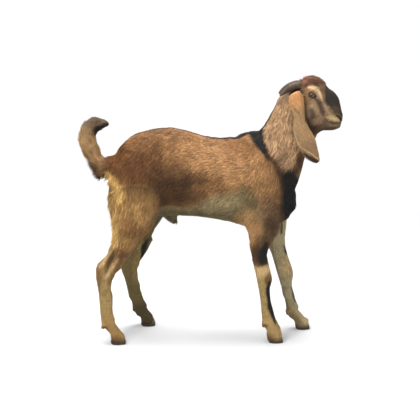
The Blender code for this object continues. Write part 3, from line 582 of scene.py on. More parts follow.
def coat_at(points, nodes):
    """Direction in space, length, lift and width of the hair at each point."""
    flat = side_view(points)
    guides = np.array(LIE)
    weight = 1 / (((flat[:, None] - guides[None, :, :2]) ** 2).sum(axis=2) + 0.016 ** 2) ** 1.6
    weight /= weight.sum(axis=1, keepdims=True)
    lie = np.radians(guides[:, 2])
    way = weight @ np.stack([np.cos(lie), 0 * lie, np.sin(lie)], axis=1)
    length, lift, width = (weight @ guides[:, 3:]).T * np.array(COAT_SCALE)[:, None]
    tail = nodes == TAIL
    if tail.any():
        ahead = np.array([from_path(flat[tail] + step, TAIL_PATH)[1]
                          for step in ((0.004, 0), (-0.004, 0), (0, 0.004), (0, -0.004))])
        along = from_path(flat[tail], TAIL_PATH)[1]
        way[tail] = np.stack([ahead[0] - ahead[1], 0 * along, ahead[2] - ahead[3]], axis=1)
        tip = fade(along, 0.55, 0.95)
        under = fade(along, 0.42, 0.25) * fade(flat[tail] @ (0.72, 0.69), 0.143, 0.135)
        length[tail] = TAIL_HAIR[0] * (1 - (1 - TAIL_TIP[0]) * tip) * (1 - under) + FRINGE[0] * under
        lift[tail] = TAIL_HAIR[1] * (1 - (1 - TAIL_TIP[1]) * tip) * (1 - under) + FRINGE[1] * under
        width[tail] = TAIL_HAIR[2]
        way[tail] = unit(way[tail]) * (1 - under)[:, None] + under[:, None] * np.array((-0.5, 0, -0.85))
    ear = nodes >= FIRST_EAR
    low = fade(flat[ear, 1], 0.80, 0.68)
    way[ear] = np.stack([0.10 + 0.42 * low, 0 * low, -np.ones(ear.sum())], axis=1)
    length[ear], lift[ear], width[ear] = EAR_HAIR
    return unit(way), length / 1000, lift, width / 1000


def ripple(points, scale, seed):
    """Smooth waves in space between about -1 and 1, with features of the given size."""
    phases = np.random.default_rng(seed)
    total = np.zeros(len(points))
    for _ in range(5):
        way = phases.normal(size=3)
        total += np.sin(points @ (way / scale) + phases.uniform(0, 6.3))
    return total / 2.6


WAVES = 80


def combed(points, way, size, length, seed):
    """Waves of about -1 to 1 and of one size across the hair, drawn out along it into locks."""
    phases = np.random.default_rng(seed)
    spins = unit(phases.normal(size=(WAVES, 3))) * (2 * math.pi / size)
    shares = np.sinc(way @ spins.T * (length / (2 * math.pi)))
    total = (np.sin(points @ spins.T + phases.uniform(0, 6.3, WAVES)) * shares).sum(axis=1)
    return total / np.sqrt((shares ** 2).sum(axis=1) / 2 + 1e-6) / 1.6


def waviness(points):
    """How wavy the coat is: most on the neck, shoulder and thigh, and not at all on the back."""
    x, z = points[:, 0], points[:, 2]
    fore = fade(x, 0.10, 0.22) * fade(x - z, -0.44, -0.50)
    hind = fade(x, -0.16, -0.26) * fade(z, 0.62, 0.52)
    neck = fade(x, 0.15, 0.25) * fade(z, 0.90, 0.70) * fade(z, 0.60, 0.66)
    tail = fade(x, -0.360, -0.372) * fade(z, 0.57, 0.60)
    crown = fade(z, 0.912, 0.925)
    total = 0.6 * fore + neck + hind + 0.4 * tail + 0.9 * crown
    return np.clip(total, 0, 1) * (0.25 + 0.75 * fade(z, 0.16, 0.30))


# Coat pieces: the nodes that each clothes, its x limits, its number of tufts and whether the
# tufts bend (ten triangles) or are straight spikes (four).
COAT = {
    "coat_trunk_right_rear": (("trunk", -1), (-1, -0.03), 17000, True),
    "coat_trunk_right_front": (("trunk", -1), (-0.03, 1), 17000, True),
    "coat_trunk_left_rear": (("trunk", 1), (-1, -0.03), 17000, True),
    "coat_trunk_left_front": (("trunk", 1), (-0.03, 1), 17000, True),
    "coat_neck": (("neck", 0), (-1, 1), 15500, True),
    "coat_head": (("head", 0), (-1, 1), 45000, False),
    "coat_tail": (("tail", 0), (-1, 1), 9000, True),
    "coat_front_right": (("leg_front_right", 0), (-1, 1), 18000, False),
    "coat_front_left": (("leg_front_left", 0), (-1, 1), 18000, False),
    "coat_hind_right": (("leg_hind_right", 0), (-1, 1), 20000, False),
    "coat_hind_left": (("leg_hind_left", 0), (-1, 1), 20000, False),
    "coat_ear_right": (("ear_right", 0), (-1, 1), 10000, False),
    "coat_ear_left": (("ear_left", 0), (-1, 1), 10000, False),
}


def sown(corners, weight, count):
    """Roots spread over triangles in proportion to weight: their triangles and their places in them."""
    sides = corners[:, 1:] - corners[:, :1]
    area = np.linalg.norm(np.cross(sides[:, 0], sides[:, 1]), axis=1) / 2 * weight
    total = np.cumsum(area)
    marks = (np.arange(count) + CHANCE.random(count)) / count * total[-1]
    faces = np.minimum(np.searchsorted(total, marks), len(corners) - 1)
    share = CHANCE.random((count, 2))
    share = np.where(share.sum(axis=1, keepdims=True) > 1, 1 - share, share)
    return faces, np.column_stack([1 - share.sum(axis=1), share])


def unrolled(points, node):
    """Places on the flesh of a node unrolled flat: round its own axis, and along it."""
    corners = points_of(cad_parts[node].data)
    axis = 0 if node in ("trunk", "head") else 2
    low, high = corners[:, axis].min(), corners[:, axis].max()
    levels = np.linspace(low, high, 9)
    spine = []
    for start, stop in zip(levels, levels[1:]):
        slab = corners[(corners[:, axis] >= start - 0.01) & (corners[:, axis] <= stop + 0.01)]
        spine.append((slab.min(axis=0) + slab.max(axis=0)) / 2)
    spine = np.array(spine)
    level = points[:, axis]
    middle = np.stack([np.interp(level, spine[:, axis], spine[:, i]) for i in range(3)], axis=1)
    offset = points - middle
    turn = np.arctan2(offset[:, 1], offset[:, 2 if axis == 0 else 0])
    return np.stack([turn, level], axis=1)


def fitted(places):
    """Places scaled to fill the unit square, a little inside its edge."""
    low, high = places.min(axis=0), places.max(axis=0)
    return 0.01 + 0.98 * (places - low) / (high - low)


PATCH = 0.0015               # half the size of a tuft's patch on the map
THIRDS = np.radians((90, 210, 330))
# Places along a tuft from its root to its tip, with the share of its width there.
BENT = ((0.0, 0.8), (0.42, 1.0), (1.0, 0.0))
STRAIGHT = ((0.0, 1.0), (1.0, 0.0))
ROOT_SUNK = 0.0006           # that a root is under the skin


def tuft_mesh(name, root, normal, way, length, lift, width, tone, patch, bent):
    """One mesh of many closed tufts; each is a three-sided spike, with one bend if bent."""
    across = unit(np.cross(normal, way))
    stations = BENT if bent else STRAIGHT
    points, along, spots = [], [], []
    for number, (t, breadth) in enumerate(stations):
        rise = length * np.sin(lift) * t * (1.25 - 0.25 * t) - (ROOT_SUNK if t == 0 else 0)
        centre = root + way * (length * np.cos(lift) * t)[:, None] + normal * rise[:, None]
        angles = THIRDS if breadth else (0,)
        for angle in angles:
            spread = width / 2 * breadth
            points.append(centre + across * (spread * math.cos(angle))[:, None]
                          + normal * (0.5 * spread * math.sin(angle))[:, None])
            along.append(np.full(len(root), t))
            reach = (1 - 0.55 * number) * PATCH if breadth else 0
            turned = angle + 0.5 * number
            spots.append((reach * math.cos(turned), reach * math.sin(turned)))
    size = len(points)
    faces = [(0, 2, 1)]
    for ring in range(0, size - 4, 3):
        for i in range(3):
            j = (i + 1) % 3
            faces += [(ring + i, ring + j, ring + 3 + j), (ring + i, ring + 3 + j, ring + 3 + i)]
    last = size - 4
    faces += [(last + i, last + (i + 1) % 3, size - 1) for i in range(3)]
    faces = np.array(faces)
    count = len(root)
    corner = (faces.ravel()[None, :] + size * np.arange(count)[:, None]).ravel()
    mesh = bpy.data.meshes.new(name)
    mesh.vertices.add(count * size)
    mesh.loops.add(len(corner))
    mesh.polygons.add(len(corner) // 3)
    mesh.vertices.foreach_set("co", np.stack(points, axis=1).ravel())
    mesh.loops.foreach_set("vertex_index", corner.astype(np.int32))
    mesh.polygons.foreach_set("loop_start", np.arange(0, len(corner), 3, dtype=np.int32))
    mesh.update(calc_edges=True)
    layer = mesh.uv_layers.new(name="OFBake")
    uv = patch[:, None, :] + np.array(spots)[faces.ravel()][None]
    layer.uv.foreach_set("vector", uv.astype(np.float32).ravel())
    for label, kind, values in (("root", "FLOAT_VECTOR", np.repeat(root, size, axis=0)),
                                ("tone", "FLOAT", np.repeat(tone, size)),
                                ("along", "FLOAT", np.stack(along, axis=1))):
        attribute = mesh.attributes.new(label, kind, "POINT")
        field = "vector" if kind == "FLOAT_VECTOR" else "value"
        attribute.data.foreach_set(field, values.astype(np.float32).ravel())
    mesh.shade_smooth()
    own = vertex_normals(mesh)
    soft = unit(0.55 * np.repeat(normal, size, axis=0) + 0.45 * own)
    mesh.normals_split_custom_set_from_vertices(soft)
    return mesh


def bare(points):
    """Where no hair grows: in the eyes' slits, the nostrils and the line of the mouth."""
    found = from_path(side_view(points), NOSTRIL)[0] < 0.0026
    found |= from_path(side_view(points), MOUTH)[0] < 0.0012
    for side in SIDES:
        along, up, out, _ = opening(points, side)
        found |= (slit_distance(along, up) < 0.0016) & (out > -0.002) & (np.hypot(along, up) < 0.02)
    return found | (points[:, 2] < 0.010)


def make_coat(skin, nodes):
    """Every piece of the coat, by name."""
    mesh = skin.data
    mesh.calc_loop_triangles()
    triangles = numbers(mesh.loop_triangles, "vertices").astype(int)
    points = points_of(mesh)
    normals = vertex_normals(mesh)
    corners = points[triangles]
    middles = corners.mean(axis=1)
    owner = nodes[triangles[:, 0]]
    grown = ~bare(middles)
    _, length, _, width = coat_at(middles, owner)
    crowd = 1 / (length * width)
    pieces = {}
    for name, ((node, side), (rear, front), count, bent) in COAT.items():
        mine = (owner == FLESH.index(node)) & grown
        mine &= (middles[:, 0] >= rear) & (middles[:, 0] < front)
        if side:
            mine &= (middles[:, 1] - MIDDLE) * side >= 0
        mine = np.nonzero(mine)[0]
        picked, share = sown(corners[mine], crowd[mine] ** 0.6, count)
        faces = triangles[mine[picked]]
        root = (points[faces] * share[:, :, None]).sum(axis=1)
        normal = unit((normals[faces] * share[:, :, None]).sum(axis=1))
        way, length_here, lift, width_here = coat_at(root, owner[mine[picked]])
        wavy = waviness(root)
        turn = 0.26 * ripple(root, 0.030, 1) + (0.16 + 0.20 * wavy) * ripple(root, 0.009, 2)
        turn += 0.30 * wavy * combed(root, way, 0.016, 0.030, 6) + CHANCE.normal(0, 0.16, count)
        way = unit(way - normal * (way * normal).sum(axis=1, keepdims=True))
        way = unit(way * np.cos(turn)[:, None] + np.cross(normal, way) * np.sin(turn)[:, None])
        locks = wavy * combed(root, way, 0.0095, 0.018, 7)
        locks += (1 - wavy) * combed(root, way, 0.0075, 0.012, 9)
        lift = lift * (1 + 0.3 * ripple(root, 0.012, 3) + 0.35 * wavy * locks)
        lift = lift * CHANCE.uniform(0.75, 1.25, count)
        length_here = length_here * CHANCE.uniform(0.75, 1.15, count)
        width_here = width_here * CHANCE.uniform(0.7, 1.25, count)
        tone = (0.17 + 0.08 * wavy) * locks + 0.17 * combed(root, way, 0.0045, 0.010, 8)
        tone = tone + 0.10 * ripple(root, 0.016, 4) + CHANCE.normal(0, 0.10, count)
        tone = np.clip(0.5 + tone, 0, 1)
        patch = fitted(unrolled(root, node))
        data = tuft_mesh(name, root, normal, way, length_here, np.radians(np.clip(lift, 3, 60)),
                         width_here, tone, patch, bent)
        pieces[name] = linked(name, data)
    return pieces


# ------------------------------------------------------------------ shader arithmetic
def is_vector(term):
    return isinstance(term, tuple) or (isinstance(term, Wire) and term.socket.type != "VALUE")


class Wire:
    """An output socket. Arithmetic on it adds Math or Vector Math nodes to its material."""

    def __init__(self, recipe, socket):
        self.recipe = recipe
        self.socket = socket

    def work(self, operation, *terms, output=0, **settings):
        kind = "ShaderNodeVectorMath" if any(map(is_vector, terms)) else "ShaderNodeMath"
        settings["operation"] = operation
        return self.recipe.node(kind, settings, dict(enumerate(terms)), output)

    def __add__(self, other):
        return self.work("ADD", self, other)

    def __radd__(self, other):
        return self.work("ADD", other, self)

    def __sub__(self, other):
        return self.work("SUBTRACT", self, other)

    def __rsub__(self, other):
        return self.work("SUBTRACT", other, self)

    def __mul__(self, other):
        if is_vector(self) == is_vector(other):
            return self.work("MULTIPLY", self, other)
        arrow, size = (self, other) if is_vector(self) else (other, self)
        return self.recipe.node("ShaderNodeVectorMath", {"operation": "SCALE"}, {0: arrow, 3: size})

    __rmul__ = __mul__

    def __truediv__(self, other):
        return self.work("DIVIDE", self, other)

    def __pow__(self, other):
        return self.work("POWER", self, other)

    def __abs__(self):
        return self.work("ABSOLUTE", self)

    def smaller(self, other):
        return self.work("MINIMUM", self, other)

    def larger(self, other):
        return self.work("MAXIMUM", self, other)

    def held(self):
        """The number, kept between 0 and 1."""
        return self.work("MULTIPLY", self, 1.0, use_clamp=True)

    def dot(self, other):
        return self.work("DOT_PRODUCT", self, other, output=1)

    def length(self):
        return self.work("LENGTH", self, output=1)

    def step(self, start, stop):
        """0 at start, 1 at stop and smooth between them."""
        return self.recipe.node("ShaderNodeMapRange", {"interpolation_type": "SMOOTHSTEP"},
                                {"Value": self, "From Min": start, "From Max": stop})

    def into(self, other, share):
        """This colour, mixed towards another by a share."""
        return self.recipe.mixed(self, other, share)

    def parts(self):
        return [self.recipe.node("ShaderNodeSeparateXYZ", {}, {0: self}, i) for i in range(3)]


class Recipe:
    """One material or world, and the nodes that it is made of."""

    def __init__(self, name, kind="materials", shader="Principled BSDF"):
        self.made = getattr(bpy.data, kind).new(name)
        self.made.use_nodes = True
        self.tree = self.made.node_tree
        self.shader = self.tree.nodes[shader]

    def node(self, kind, settings, sockets, output=0):
        made = self.tree.nodes.new(kind)
        for name, value in settings.items():
            setattr(made, name, value)
        for key, value in sockets.items():
            self.put(made.inputs[key], value)
        return Wire(self, made.outputs[output])

    def put(self, socket, value):
        if isinstance(value, Wire):
            self.tree.links.new(value.socket, socket)
        elif socket.type == "RGBA":
            socket.default_value = (*value, 1)
        elif socket.type == "VECTOR" and not isinstance(value, tuple):
            socket.default_value = (value,) * 3
        else:
            socket.default_value = value

    def place(self):
        return self.node("ShaderNodeTexCoord", {}, {}, "Object")

    def kept(self, name, output="Fac"):
        """What the mesh keeps at its points under a name."""
        return self.node("ShaderNodeAttribute", {"attribute_name": name}, {}, output)

    def noise(self, place, scale, detail=2.0, roughness=0.5, output="Fac"):
        return self.node("ShaderNodeTexNoise", {}, {"Vector": place, "Scale": scale,
                                                    "Detail": detail, "Roughness": roughness}, output)

    def mixed(self, first, second, share):
        return self.node("ShaderNodeMix", {"data_type": "RGBA"}, {0: share, 6: first, 7: second}, 2)

    def bump(self, height, distance, strength=1.0):
        return self.node("ShaderNodeBump", {}, {"Height": height, "Distance": distance,
                                                "Strength": strength})

    def finish(self, **sockets):
        for name, value in sockets.items():
            self.put(self.shader.inputs[name.replace("_", " ")], value)
        return self.made


def stroke(flat, path, soft):
    """1 along a path of x, z and half width, fading to 0 past that width."""
    nearest = None
    for (start_x, start_z, start_w), (stop_x, stop_z, stop_w) in zip(path, path[1:]):
        run_x, run_z = stop_x - start_x, stop_z - start_z
        offset = flat - (start_x, 0.0, start_z)
        share = (offset.dot((run_x, 0.0, run_z)) / (run_x ** 2 + run_z ** 2)).held()
        far = (offset - share * (run_x, 0.0, run_z)).length() - (start_w + share * (stop_w - start_w))
        nearest = far if nearest is None else nearest.smaller(far)
    return nearest.step(soft, -soft)


def oval_reach(flat, x, z, half_length, half_height, turn):
    """The square of how far out a place is in a turned oval; it is 1 on the oval's edge."""
    offset = flat - (x, 0.0, z)
    along = offset.dot((math.cos(turn) / half_length, 0.0, math.sin(turn) / half_length))
    across = offset.dot((-math.sin(turn) / half_height, 0.0, math.cos(turn) / half_height))
    return along * along + across * across


def oval(flat, x, z, half_length, half_height, tilt, soft):
    """1 in a tilted oval, fading to 0 round its edge; soft is a share of its size."""
    reach = oval_reach(flat, x, z, half_length, half_height, math.radians(tilt))
    return reach.step((1 + soft) ** 2, max(0, 1 - soft) ** 2)


def patched(base, flat, patches, where=None):
    """A colour with soft ovals laid over it in turn, everywhere or only where it is told."""
    for colour, x, z, half_length, half_height, tilt, soft, share in patches:
        shape = oval(flat, x, z, half_length, half_height, tilt, soft)
        shape = shape if where is None else where * shape
        base = base.into(colour, shape * share)
    return base


# ------------------------------------------------------------------ the coat's colours
TAN = (0.315, 0.155, 0.06)
SANDY = (0.39, 0.208, 0.085)
BROWN = (0.12, 0.053, 0.018)
DARK_BROWN = (0.046, 0.0205, 0.0072)
RUST = (0.155, 0.058, 0.017)
# golden hair, made brighter by a painted highlight of light from behind on the rump and thigh
GOLD_AND_HIGHLIGHT = (0.68, 0.42, 0.13)
BUFF = (0.385, 0.215, 0.074)
CREAM = (0.26, 0.195, 0.094)
# painted shade: the olive of the shaded underside of the belly
BELLY_SHADE = (0.105, 0.082, 0.038)
ELBOW = (0.105, 0.073, 0.032)
NECK_TAN = (0.47, 0.285, 0.145)
NECK_PINK = (0.32, 0.19, 0.105)
GREY_TAN = (0.195, 0.12, 0.06)
BLACK = (0.0085, 0.0075, 0.007)
LEG_CREAM = (0.39, 0.27, 0.098)
KNEE_CREAM = (0.64, 0.43, 0.2)
STONE = (0.4, 0.34, 0.19)
# painted shade: the olive of the far hind leg, which stands in shade
FAR_LEG_SHADE = (0.125, 0.096, 0.034)
FACE = (0.235, 0.135, 0.069)
FACE_LIGHT = (0.36, 0.24, 0.13)
FACE_WARM = (0.40, 0.21, 0.085)
PLUM = (0.082, 0.040, 0.030)
STRIPE = (0.68, 0.47, 0.26)
MUZZLE = (0.6, 0.43, 0.2)
CHIN_TAN = (0.120, 0.080, 0.045)
LOCK = (0.1, 0.051, 0.025)
LOCK_RED = (0.17, 0.07, 0.038)
NOSE_BROWN = (0.09, 0.055, 0.032)
EAR_ORANGE = (0.62, 0.31, 0.118)
EAR_TAN = (0.42, 0.255, 0.122)
EAR_SHADE = (0.075, 0.055, 0.038)
EAR_PALE = (0.56, 0.4, 0.23)
HORN_BROWN = (0.066, 0.040, 0.024)
HORN_DARK = (0.030, 0.019, 0.012)
# paler horn, for the tip and for a painted highlight along the top
HORN_PALE_AND_HIGHLIGHT = (0.16, 0.108, 0.074)
HOOF_DARK = (0.022, 0.016, 0.011)
HOOF_BROWN = (0.105, 0.066, 0.03)
IRIS_PALE = (0.125, 0.09, 0.056)
IRIS_DARK = (0.040, 0.028, 0.018)
NOSE_BLACK = (0.026, 0.0195, 0.015)
TAIL_TAN = (0.31, 0.185, 0.080)
TAIL_GREY = (0.090, 0.062, 0.040)
# painted shade: the far feet and the far foreleg's rear edge
FAR_SHADE = (0.060, 0.050, 0.018)
EYE_BLACK = (0.006, 0.005, 0.004)

SHOULDER_BAND = ((0.170, 0.785, 0.030), (0.165, 0.756, 0.027), (0.174, 0.722, 0.018),
                 (0.192, 0.690, 0.011), (0.203, 0.668, 0.006))
SHOULDER_FADE = ((0.203, 0.677, 0.009), (0.228, 0.648, 0.010), (0.247, 0.615, 0.014), (0.258, 0.575, 0.016))
CHEST = ((0.277, 0.597, 0.027), (0.291, 0.560, 0.040), (0.294, 0.527, 0.044), (0.293, 0.483, 0.043),
         (0.284, 0.448, 0.030))
# dark fur of the throat, with painted shade under the jaw and the hanging ears
THROAT_FUR_AND_SHADE = ((0.352, 0.750, 0.016), (0.342, 0.715, 0.014), (0.322, 0.665, 0.018), (0.304, 0.620, 0.020))
BELLY = ((-0.200, 0.436, 0.028), (-0.140, 0.440, 0.050), (-0.060, 0.446, 0.047),
         (0.000, 0.456, 0.058), (0.035, 0.470, 0.075), (0.095, 0.484, 0.073))
# golden hair with a painted highlight along the rear of the rump
RUMP_GOLD_AND_HIGHLIGHT = ((-0.334, 0.594, 0.008), (-0.320, 0.570, 0.012), (-0.315, 0.545, 0.015), (-0.314, 0.525, 0.011))
FORE_BLACKS = {
    -1: (((0.211, 0.221, 0.007), (0.206, 0.200, 0.0095), (0.207, 0.178, 0.0085), (0.211, 0.159, 0.0085),
          (0.2135, 0.133, 0.0100), (0.223, 0.101, 0.0065), (0.233, 0.073, 0.003)),),
    1: (((0.260, 0.440, 0.003), (0.258, 0.370, 0.003)),
        ((0.270, 0.318, 0.003), (0.276, 0.300, 0.006), (0.278, 0.290, 0.004)),
        ((0.300, 0.160, 0.002), (0.306, 0.128, 0.004), (0.312, 0.108, 0.002))),
}
HIND_BLACKS = {
    -1: (((-0.343, 0.175, 0.002), (-0.336, 0.130, 0.004), (-0.318, 0.080, 0.004), (-0.303, 0.050, 0.003)),),
    1: (((-0.226, 0.340, 0.004), (-0.238, 0.312, 0.010), (-0.248, 0.270, 0.006)),
        ((-0.252, 0.212, 0.003), (-0.243, 0.180, 0.005), (-0.236, 0.140, 0.006), (-0.228, 0.085, 0.005))),
}
KNEE_BLACK = ((0.198, 0.362, 0.010), (0.193, 0.340, 0.016), (0.188, 0.318, 0.020), (0.188, 0.300, 0.016))
# painted shade along the rear edge of the far foreleg
FAR_REAR_SHADE = ((0.214, 0.360, 0.002), (0.235, 0.260, 0.004), (0.249, 0.200, 0.004), (0.267, 0.130, 0.006))
# painted shade in the hollow of the near hock, along its furrow
HOCK_HOLLOW_SHADE = ((-0.334, 0.346, 0.006), (-0.342, 0.318, 0.010), (-0.354, 0.292, 0.009),
               (-0.364, 0.264, 0.004))
# painted shade down the rear of the far foreleg's pastern and heel
FAR_HEEL_SHADE = ((0.268, 0.118, 0.008), (0.286, 0.066, 0.015), (0.318, 0.028, 0.016))
HOCK_CORD = ((-0.344, 0.342, 0.003), (-0.365, 0.312, 0.004), (-0.386, 0.283, 0.005))
SHIN_CORD = ((-0.322, 0.312, 0.003), (-0.342, 0.284, 0.004), (-0.352, 0.262, 0.006), (-0.366, 0.244, 0.007))


class Marks:
    """The places that the markings are drawn from, at one point of the skin or at a tuft's root."""

    def __init__(self, recipe, place):
        self.recipe = recipe
        ragged = recipe.noise(place, 90, 2, 0.6, "Color") - (0.5, 0.5, 0.5)
        broad = recipe.noise(place, 14, 2, 0.5, "Color") - (0.5, 0.5, 0.5)
        self.place = place
        self.loose = place + ragged * 0.011 + broad * 0.030
        self.close = place + ragged * 0.0045
        self.flat = self.close * (1.0, 0.0, 1.0)
        self.broad_flat = self.loose * (1.0, 0.0, 1.0)
        self.x, self.y, self.z = place.parts()
        self.loose_x, _, self.loose_z = self.loose.parts()
        self.side = self.y - MIDDLE
        self.out = abs(self.side)


def neck_colour(marks):
    """The neck up to the head, with its dark mane line, and its throat, dark fur with painted shade under
    the jaw and ears.
    """
    patches = marks.recipe.noise(marks.place, 16, 3, 0.6).step(0.35, 0.65)
    base = marks.recipe.mixed(NECK_TAN, NECK_PINK, patches)
    base = base.into(GREY_TAN, marks.loose_z.step(0.72, 0.60) * 0.45)
    # dark fur and painted shade down the throat
    base = base.into(DARK_BROWN, stroke(marks.flat, THROAT_FUR_AND_SHADE, 0.014) * 0.88)
    nape = marks.out.step(0.010, 0.005) * (marks.x + marks.z).step(1.110, 1.090)
    return base.into(BLACK, nape * (marks.x - marks.z * 0.9).step(-0.440, -0.470) * 0.85)


# Soft patches: colour, middle x and z, half sizes, tilt, softness, share.
TRUNK_PATCHES = (
    (TAN, -0.10, 0.715, 0.13, 0.030, -4, 0.7, 0.50),
    (BROWN, -0.030, 0.740, 0.15, 0.025, -5, 0.9, 0.35),
    (BROWN, -0.040, 0.605, 0.16, 0.045, 0, 0.9, 0.45),
    (DARK_BROWN, -0.135, 0.558, 0.100, 0.044, 3, 0.8, 0.86),
    (DARK_BROWN, -0.195, 0.610, 0.028, 0.085, 12, 0.9, 0.62),
    (RUST, -0.270, 0.675, 0.080, 0.060, -30, 0.8, 0.75),
    (DARK_BROWN, -0.245, 0.650, 0.060, 0.040, -30, 0.9, 0.30),
    (DARK_BROWN, -0.105, 0.602, 0.070, 0.026, 0, 0.9, 0.50),
    (TAN, -0.015, 0.550, 0.040, 0.026, 0, 0.9, 0.50),
    (TAN, -0.245, 0.728, 0.035, 0.024, -20, 0.9, 0.60),
    (TAN, -0.125, 0.668, 0.045, 0.018, 0, 0.9, 0.30),
    (BROWN, -0.215, 0.655, 0.042, 0.055, 20, 0.9, 0.45),
    (DARK_BROWN, -0.065, 0.546, 0.045, 0.020, 0, 0.9, 0.55),
    (SANDY, 0.040, 0.650, 0.080, 0.030, 0, 0.9, 0.40),
    (RUST, 0.110, 0.690, 0.05, 0.028, 0, 0.8, 0.45),
    (GREY_TAN, 0.205, 0.465, 0.060, 0.065, 0, 0.8, 0.80),
    (BROWN, 0.238, 0.520, 0.024, 0.080, 10, 0.8, 0.60),
    (SANDY, 0.185, 0.560, 0.050, 0.050, 0, 0.8, 0.60),
    (SANDY, 0.110, 0.598, 0.042, 0.042, 0, 0.8, 0.60),
    (DARK_BROWN, 0.222, 0.500, 0.034, 0.042, 0, 0.8, 0.45),
)
RUMP_PATCHES = (
    # golden hair with a painted highlight at the rear of the rump and thigh
    (GOLD_AND_HIGHLIGHT, -0.355, 0.600, 0.014, 0.014, 0, 0.7, 0.80),
    (BROWN, -0.217, 0.390, 0.018, 0.045, -12, 0.8, 0.75),
    (GOLD_AND_HIGHLIGHT, -0.335, 0.420, 0.018, 0.060, 0, 0.8, 0.50),
)
BELLY_PATCHES = (
    # painted shade along the bottom of the belly
    (BELLY_SHADE, -0.140, 0.458, 0.055, 0.014, 0, 0.8, 0.60),
    (ELBOW, 0.138, 0.535, 0.026, 0.036, 10, 0.7, 0.70),
    (BUFF, 0.128, 0.445, 0.030, 0.040, 0, 0.8, 0.60),
)


def trunk_colour(marks):
    """The trunk and neck, and the tops of the legs."""
    broad = marks.broad_flat
    x, z = marks.loose_x, marks.loose_z
    patches = marks.recipe.noise(marks.place, 9, 3, 0.6).step(0.35, 0.65)
    base = marks.recipe.mixed(TAN, SANDY, patches)
    base = base.into(BROWN, x.step(-0.03, -0.17) * 0.80)
    base = base.into(BROWN, z.step(0.64, 0.55) * 0.75)
    base = patched(base, broad, TRUNK_PATCHES)
    hind = x.step(-0.165, -0.215)
    base = base.into(BUFF, hind * z.step(0.60, 0.50) * 0.92)
    # golden hair with a painted highlight along the rear of the rump
    base = base.into(GOLD_AND_HIGHLIGHT, stroke(broad, RUMP_GOLD_AND_HIGHLIGHT, 0.013) * 0.88)
    base = patched(base, broad, RUMP_PATCHES)
    base = base.into(neck_colour(marks), (x * 0.867 + z * 0.498).step(0.500, 0.525))
    belly = stroke(broad, BELLY, 0.018) * marks.x.step(-0.205, -0.165)
    base = base.into(CREAM, belly)
    # painted shade: olive under the belly, darker towards its bottom and towards its rear
    base = base.into(BELLY_SHADE, belly * z.step(0.515, 0.455) * 0.95)
    base = base.into(BELLY_SHADE, belly * x.step(0.03, -0.07) * 0.68)
    return patched(base, broad, BELLY_PATCHES)


def body_colour(marks):
    """The trunk with its black markings."""
    flat, base = marks.flat, trunk_colour(marks)
    base = base.into(BLACK, stroke(flat, SHOULDER_BAND, 0.006))
    base = base.into(DARK_BROWN, stroke(flat, SHOULDER_FADE, 0.010) * 0.92)
    base = base.into(BLACK, stroke(flat, CHEST, 0.011))
    ridge = 0.005 + 0.013 * marks.x.step(-0.08, 0.12)
    spine = (marks.out - ridge).step(0.003, -0.002) * marks.z.step(0.66, 0.69)
    return base.into(BLACK, spine * (marks.x.step(0.19, 0.17)) * 0.92)


# Soft patches: colour, middle x and z, half sizes, tilt, softness, share.
ARM_PATCHES = (
    (SANDY, 0.150, 0.415, 0.026, 0.045, 0, 0.8, 0.75),
    (GREY_TAN, 0.212, 0.420, 0.026, 0.050, 0, 0.7, 0.90),
    (DARK_BROWN, 0.208, 0.408, 0.020, 0.040, 0, 0.8, 0.60),
    (DARK_BROWN, 0.180, 0.360, 0.020, 0.030, 0, 0.8, 0.75),
    (DARK_BROWN, 0.226, 0.440, 0.030, 0.022, 0, 0.8, 0.50),
)


def fore_colour(marks):
    """The forelegs, over the trunk's colour."""
    flat, broad, low, base = marks.flat, marks.broad_flat, marks.loose_z, trunk_colour(marks)
    right = marks.side.step(0.004, -0.004)
    left = 1 - right
    base = base.into(BLACK, stroke(flat, CHEST, 0.011))
    base = base.into(BUFF, low.step(0.445, 0.385) * 0.85)
    base = base.into(STONE, left * low.step(0.465, 0.375) * 0.9)
    base = patched(base, broad, ARM_PATCHES, right)
    base = base.into(DARK_BROWN, right * oval(flat, 0.172, 0.322, 0.030, 0.034, 20, 0.6) * 0.94)
    base = base.into(BLACK, right * stroke(flat, KNEE_BLACK, 0.009) * 0.97)
    shin = right * low.step(0.289, 0.276)
    base = base.into(LEG_CREAM, shin)
    base = base.into(KNEE_CREAM, shin * oval(flat, 0.190, 0.262, 0.036, 0.020, 0, 0.6) * 0.9)
    base = base.into(BROWN, right * oval(flat, 0.207, 0.234, 0.012, 0.018, 0, 0.7) * 0.85)
    base = base.into(KNEE_CREAM, left * oval(flat, 0.276, 0.240, 0.018, 0.026, 0, 0.7) * 0.75)
    # painted shade down the far foreleg's rear edge and heel
    base = base.into(DARK_BROWN, left * stroke(flat, FAR_HEEL_SHADE, 0.010) * 0.80)
    base = base.into(FAR_SHADE, left * stroke(flat, FAR_REAR_SHADE, 0.008) * 0.70)
    base = base.into(BUFF, right * low.step(0.100, 0.060) * 0.55)
    base = base.into(KNEE_CREAM, low.step(0.100, 0.065) * 0.28)
    # painted shade: darker at the lower rear of the near fore foot
    base = base.into(DARK_BROWN, right * oval(flat, 0.204, 0.018, 0.020, 0.016, 0, 0.7) * 0.60)
    base = base.into(BROWN, right * oval(flat, 0.192, 0.066, 0.010, 0.008, 0, 0.7) * 0.70)
    base = base.into(BROWN, mottled(marks) * 0.30)
    return blackened(marks, base, FORE_BLACKS, right)


